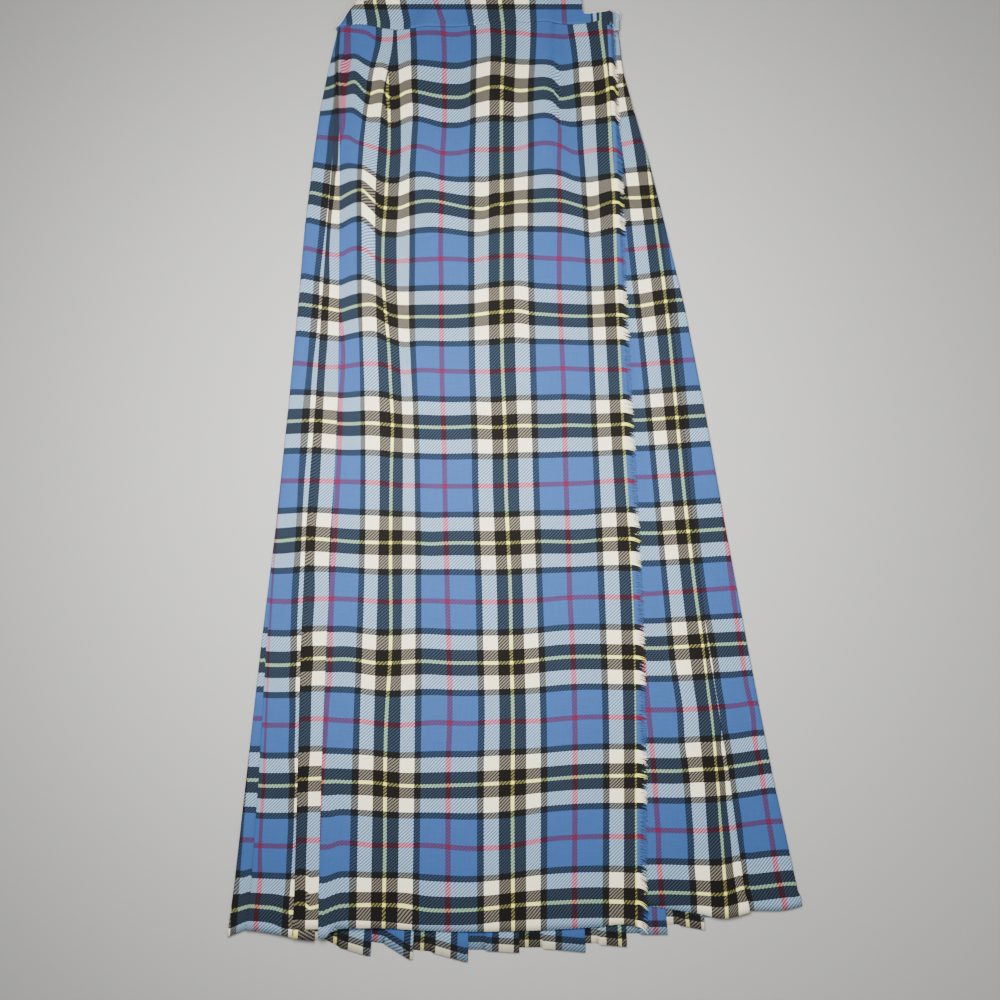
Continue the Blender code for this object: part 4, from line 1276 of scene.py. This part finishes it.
def tuft_path(number, root):
    """Centre of a tuft at each step from its root."""
    more_reach, more_droop, stray = (
        noise.noise(Vector((number * TUFT_SPREAD + shift, shift, 5.1))) for shift in TUFT_SHIFTS)
    reach = TUFT_REACH[0] + (TUFT_REACH[1] - TUFT_REACH[0]) * (0.5 + more_reach)
    droop = along(TUFT_DROOP, root.y) * (1 + more_droop)
    path = []
    for step in range(1, TUFT_STEPS + 1):
        part = step / TUFT_STEPS
        x = root.x + reach * part
        y = root.y - droop * part ** TUFT_BEND + TUFT_STRAY * stray * part
        floor = under_height(x, y) + WALL / 2 + TUFT_CLEARANCE + undulation(x, y, UNDER_WAVE_Z)
        down = smooth((part - TUFT_SETTLE[0]) / (TUFT_SETTLE[1] - TUFT_SETTLE[0]))
        z = max(floor, root.z + (floor - root.z) * down)
        path.append(Vector((x, y, z)))
    return path


def make_fringe(name, material):
    """Tufts along the free edge of the apron."""
    hem_y = float(hem_of("over_apron")([(edge("apron_edge", HEM_Y), 0, "")])[0])
    shape = bmesh.new()
    tuft = shape.verts.layers.int.new("tuft")
    ends, roots = [], []
    for number in range(FRINGE_TUFTS):
        y = hem_y + FRINGE_START + (FRINGE_TOP - hem_y) * number / FRINGE_TUFTS
        x = edge("apron_edge", y) - TUFT_ROOT
        z = apron_height(x, y) + dart_relief(x, y) + undulation(x, y, APRON_WAVE_Z) + WALL / 2
        roots.append(Vector((x, y, z)))
    paths = [tuft_path(number, root) for number, root in enumerate(roots)]
    seen = [Vector((root.x, root.y + waist_lift(root.x, root.y), root.z)) for root in roots]
    places = chart_places((APRON_WARPS, APRON_WEFTS), seen)
    lying = Vector((0, 0, 1)).rotation_difference(Vector((1, 0, 0))).to_matrix()
    for number, root in enumerate(roots):
        made = bmesh.ops.create_cone(shape, cap_ends=True, segments=4, radius1=TUFT_RADIUS,
                                     radius2=TUFT_RADIUS, depth=TUFT_RADIUS)
        bmesh.ops.rotate(shape, verts=made["verts"], cent=(0, 0, 0), matrix=lying)
        bmesh.ops.translate(shape, verts=made["verts"], vec=root)
        for vertex in made["verts"]:
            vertex[tuft] = number
        faces = {face for vertex in made["verts"] for face in vertex.link_faces}
        ends.append(max(faces, key=lambda face: face.calc_center_median().x))
    for step in range(TUFT_STEPS):
        ends = bmesh.ops.extrude_discrete_faces(shape, faces=ends)["faces"]
        size = 1 - TUFT_TAPER * ((step + 1) / TUFT_STEPS) ** 3
        for end in ends:
            middle = end.calc_center_median()
            path = paths[end.verts[0][tuft]]
            for vertex in end.verts:
                offset = (vertex.co - middle).normalized() * TUFT_RADIUS * size
                vertex.co = path[step] + offset
    for vertex in shape.verts:
        vertex.co.y += waist_lift(vertex.co.x, vertex.co.y)
    layer = shape.loops.layers.uv.new("check")
    for face in shape.faces:
        for corner in face.loops:
            corner[layer].uv = (corner.vert.co.x, places[corner.vert[tuft]][1])
        face.smooth = True
    bmesh.ops.recalc_face_normals(shape, faces=list(shape.faces))
    print(name, FRINGE_TUFTS, "tufts,", len(shape.faces), "faces")
    return make_object(name, shape, material)


fringe = make_fringe("apron_fringe_tufts", frayed_yarn)
place_piece(fringe, "apron_fringe")
place_piece(over_apron, "over_apron", flat_size(apron_rows))

# %% [markdown]
# ## The waistband
# The waistband is a straight strip of the same cloth, folded double. It winds from its
# inner end under the apron, round the back, and over the front to its stepped right end.
# Its section is the path of the winding seen from the waist, and its rows go up from the
# seam. Each point has its own height, which gives the step and the rounded corners.

# %% Waistband
BAND_END_HEIGHT = 0.0118
BAND_END_X = 0.0825
BAND_TAIL_X = 0.1275
BAND_TAIL = ((0.0825, 0.0162), (0.0905, 0.0140), (0.102, 0.0122), (0.1136, 0.0118),
             (0.1186, 0.0178), (0.1236, 0.0238), (0.1275, 0.0240))
BAND_LOW = ((0.070, BAND_HEIGHT), (0.080, BAND_END_HEIGHT))
BAND_CORNER = 0.0055
BAND_FALL = 0.010
BAND_LEFT_INSET = 0.029
BAND_RIGHT_INSET = 0.006
BAND_INNER_X = -0.150
BAND_START = 0.006
BAND_ROWS = 14
BAND_TURN = 10
BAND_UNDER_END = 0.095        # where its inner layer comes to the right side
BAND_UNDER_POINTS = 40
BAND_BACK_POINTS = 50
BAND_FRONT_POINTS = (90, 6, 16, 5)
NO_LENGTH = 0.0001            # two points closer than this are one
DART_SHARE = 0.5              # how much of the darts shows through the band


def band_rows_of():
    """Rows of the waistband: one strip that winds under, round the back and over."""
    lower_y = SEAM_Y + SEAM_GAP
    low = BAND_WALL / 2
    left = edge("left", SEAM_Y)
    right = edge("right", SEAM_Y)
    inner_z = level(SIDE_LEVEL + 1)

    def under(x):
        return min(under_height(x, SEAM_Y), inner_z)

    section = [(BAND_INNER_X, under(BAND_INNER_X), "")]
    section += run(BAND_INNER_X, BAND_UNDER_END, BAND_UNDER_POINTS, under)
    section += fold(right - (BAND_WALL - WALL) / 2, inner_z, low, 1, BAND_TURN)
    start_z = apron_height(left + BAND_START, SEAM_Y)
    wrap = fold(left + (BAND_WALL - WALL) / 2, low, start_z, -1, BAND_TURN)
    section += run(section[-1][0], wrap[0][0], BAND_BACK_POINTS, low)[:-1]
    section += wrap
    end = edge("apron_edge", SEAM_Y)

    def over(x):
        height = apron_height(min(x, end), SEAM_Y) + dart_relief(x, SEAM_Y) * DART_SHARE
        rest = inner_z + BAND_WALL + LAYER_GAP
        return height + (rest - height) * smooth((x - end) / BAND_FALL)

    def rounding(distance):
        """How far a round corner draws in at a distance from its end."""
        part = min(max(distance / BAND_CORNER, 0.0), 1.0)
        return BAND_CORNER * (1 - math.sqrt(1 - (1 - part) ** 2))

    def tall(x):
        if not x > BAND_END_X + NO_LENGTH:
            return BAND_HEIGHT
        height = along(BAND_TAIL, x) + rounding(x - BAND_END_X)
        return height - 0.5 * rounding(BAND_TAIL_X - x)

    stops = (section[-1][0], BAND_END_X, BAND_END_X + BAND_CORNER,
             BAND_TAIL_X - BAND_CORNER, BAND_TAIL_X)
    for start, stop, count in zip(stops, stops[1:], BAND_FRONT_POINTS):
        section += run(start, stop, count, over, "band")
    narrowing = 1 - (BAND_LEFT_INSET + BAND_RIGHT_INSET) / (right - left)
    rows = []
    for number in range(BAND_ROWS + 1):
        share = number / BAND_ROWS
        row = []
        for x, z, face in section:
            top_x = left + BAND_LEFT_INSET + (x - left) * narrowing
            height = tall(x) if face else along(BAND_LOW, x)
            up = share * (height - SEAM_GAP)
            stay = 1 - smooth((x - end) / BAND_FALL) if face else 1.0
            point = Vector((x + (top_x - x) * up / BAND_HEIGHT * stay, lower_y + up, z))
            point.z += undulation(point.x, point.y, z)
            if face:
                point.y += waist_lift(point.x, point.y) * stay
            row.append((point, face))
        rows.append(row)
    return rows


BAND_WEFTS = (
    (3.583, ((-250, 531.3), (150, 531.3))),
    (3.7244, ((-250, 550.7), (150, 550.7))),
)
band_rows = band_rows_of()
band_places = sheet_places(band_rows, {"band": (BAND_WARPS, BAND_WEFTS)})
waistband = make_sheet("waistband_cloth", band_rows,
                       lambda row, column, _: band_places[row, column], BAND_WALL, band_tartan)

# %% [markdown]
# ## Pale threads
# The band's low right end is overcast with one undyed thread, which runs along its top and
# curls over its tip. At the left end three finer threads have frayed out and lie on the band.
# Curves with a round bevel would do as well. Here a small ring is extruded along each path,
# so that the threads are one plain mesh, as the other pieces are.

# %% Pale threads on the waistband
# Overcast cotton thread: an undyed yarn, matt and slightly hairy, whose plies show as specks.
PLY_SCALE = 700.0             # specks are a little over a millimetre apart
COLOUR_A, COLOUR_B, COLOUR_RESULT = 6, 7, 2       # sockets of a Mix node that mixes colours
THREAD_SIDES = 6
THREAD_RADIUS = 0.00055
FRAY_RADIUS = 0.00035
THREAD_DROP = 0.0003          # below the top edge that the thread runs along
THREAD_START = 0.0015         # right of the band's step
FRAYS = (
    ((-0.2105, 0.5185), (-0.2065, 0.5230), (-0.2020, 0.5310), (-0.1965, 0.5405),
     (-0.1890, 0.5470), (-0.1740, 0.5500), (-0.1560, 0.5512)),
    ((-0.2125, 0.5160), (-0.2075, 0.5205), (-0.2000, 0.5335), (-0.1955, 0.5430),
     (-0.1915, 0.5520), (-0.1830, 0.5575), (-0.1700, 0.5590)),
    ((-0.2180, 0.5140), (-0.2110, 0.5215), (-0.2035, 0.5345), (-0.1960, 0.5465),
     (-0.1870, 0.5500), (-0.1800, 0.5490)),
)
TAIL_CURL = ((0.0008, -0.0010), (0.0014, -0.0032), (0.0010, -0.0062), (-0.0010, -0.0080),
             (-0.0034, -0.0092))


def on_band(x, y, radius):
    """The place of a thread that lies on the front of the waistband."""
    near = min((point for row in band_rows for point, face in row if face),
               key=lambda point: (point.x - x) ** 2 + (point.y - y) ** 2)
    return Vector((x, y, near.z + BAND_WALL / 2 + radius))


def rounded(path):
    """More points on a path, with its corners cut twice."""
    for _ in range(2):
        inner = [a.lerp(b, share) for a, b in zip(path, path[1:]) for share in (0.25, 0.75)]
        path = [path[0], *inner[1:-1], path[-1]]
    return path


def thread_along(shape, path, radius):
    """Add a round thread along a path."""
    ring = bmesh.ops.create_circle(shape, cap_ends=True, segments=THREAD_SIDES,
                                   radius=radius)["verts"]
    end = ring[0].link_faces[0]
    offsets = [vertex.co.copy() for vertex in end.verts]
    for number, place in enumerate(path):
        if number:
            end = bmesh.ops.extrude_discrete_faces(shape, faces=[end])["faces"][0]
        ahead = path[min(number + 1, len(path) - 1)] - path[max(number - 1, 0)]
        turn = ahead.to_track_quat("Z", "Y")
        for vertex, offset in zip(end.verts, offsets):
            vertex.co = place + turn @ offset


cotton_thread = bpy.data.materials.new("undyed_cotton_thread")
cotton_thread.use_nodes = True
cotton_tree = cotton_thread.node_tree
cotton = cotton_tree.nodes["Principled BSDF"]
cotton.inputs["Roughness"].default_value = 0.9
cotton.inputs["Specular IOR Level"].default_value = 0.1
thread_place = add(cotton_tree, "ShaderNodeTexCoord", {})
specks = add(cotton_tree, "ShaderNodeTexNoise",
             {"Vector": thread_place.outputs["Object"], "Scale": PLY_SCALE, "Detail": 2.0})
ply = add(cotton_tree, "ShaderNodeMix",
          {"Factor": specks, COLOUR_A: linear("#8F8C86"), COLOUR_B: linear("#DDD9CF")},
          data_type="RGBA")
cotton_tree.links.new(ply.outputs[COLOUR_RESULT], cotton.inputs["Base Color"])

threads = bmesh.new()
top_edge = [point + Vector((0, -THREAD_DROP, BAND_WALL / 2)) for point, face in band_rows[-1]
            if face and point.x > BAND_END_X + THREAD_START]
tip = top_edge[-1]
curl = [tip + Vector((x, y, 0.0)) for x, y in TAIL_CURL]
thread_along(threads, rounded(top_edge[:-1:2] + [tip] + curl), THREAD_RADIUS)
for path in FRAYS:
    thread_along(threads, rounded([on_band(x, y, FRAY_RADIUS) for x, y in path]), FRAY_RADIUS)
for face in threads.faces:
    face.smooth = True
bmesh.ops.recalc_face_normals(threads, faces=list(threads.faces))
print("threads", len(threads.faces), "faces")
waistband_threads = make_object("waistband_threads", threads, cotton_thread)
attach(waistband_threads, "root")
# The strip is as high as the band. Its columns lean, so they measure more.
place_piece(waistband, "waistband", (flat_size(band_rows)[0], BAND_HEIGHT))

# %% [markdown]
# ## The floor and the light
# The skirt lies on a plain pale floor under soft studio light: one broad lamp hangs close
# above its middle, so the waist and the hem fall off darker, and a weak one fills in. The
# lamps hide from the camera, and a pale sky lights what they miss.

# %% Floor
paper = bpy.data.materials.new("matt_paper_floor")
paper.use_nodes = True
paper_shader = paper.node_tree.nodes["Principled BSDF"]
paper_shader.inputs["Base Color"].default_value = linear("#A6A5A2")
paper_shader.inputs["Roughness"].default_value = 0.9
floor_shape = bmesh.new()
bmesh.ops.create_grid(floor_shape, x_segments=1, y_segments=1, size=3.0)
floor = make_object("floor", floor_shape, paper)
floor.location.z = -0.0002    # just below the cloth


# %% Lights
def area_light(name, place, size, power, colour):
    """A square lamp that points at the middle of the skirt."""
    lamp = bpy.data.lights.new(name, "AREA")
    lamp.size = size
    lamp.energy = power
    lamp.color = linear(colour)[:3]
    item = bpy.data.objects.new(name, lamp)
    item.location = place
    item.visible_camera = False
    item.rotation_euler = (-Vector(place)).to_track_quat("-Z", "Y").to_euler()
    bpy.context.scene.collection.objects.link(item)
    print(name, power, "W")


area_light("key_lamp", (-0.10, 0.04, 0.72), 0.32, 20.5, "#FFFFFF")
area_light("fill_lamp", (0.8, -0.5, 1.3), 1.0, 6.0, "#FFFFFF")
sky = bpy.data.worlds.new("studio")
sky.use_nodes = True
sky.node_tree.nodes["Background"].inputs[0].default_value = linear("#E8EAEE")
sky.node_tree.nodes["Background"].inputs[1].default_value = 0.25
bpy.context.scene.world = sky
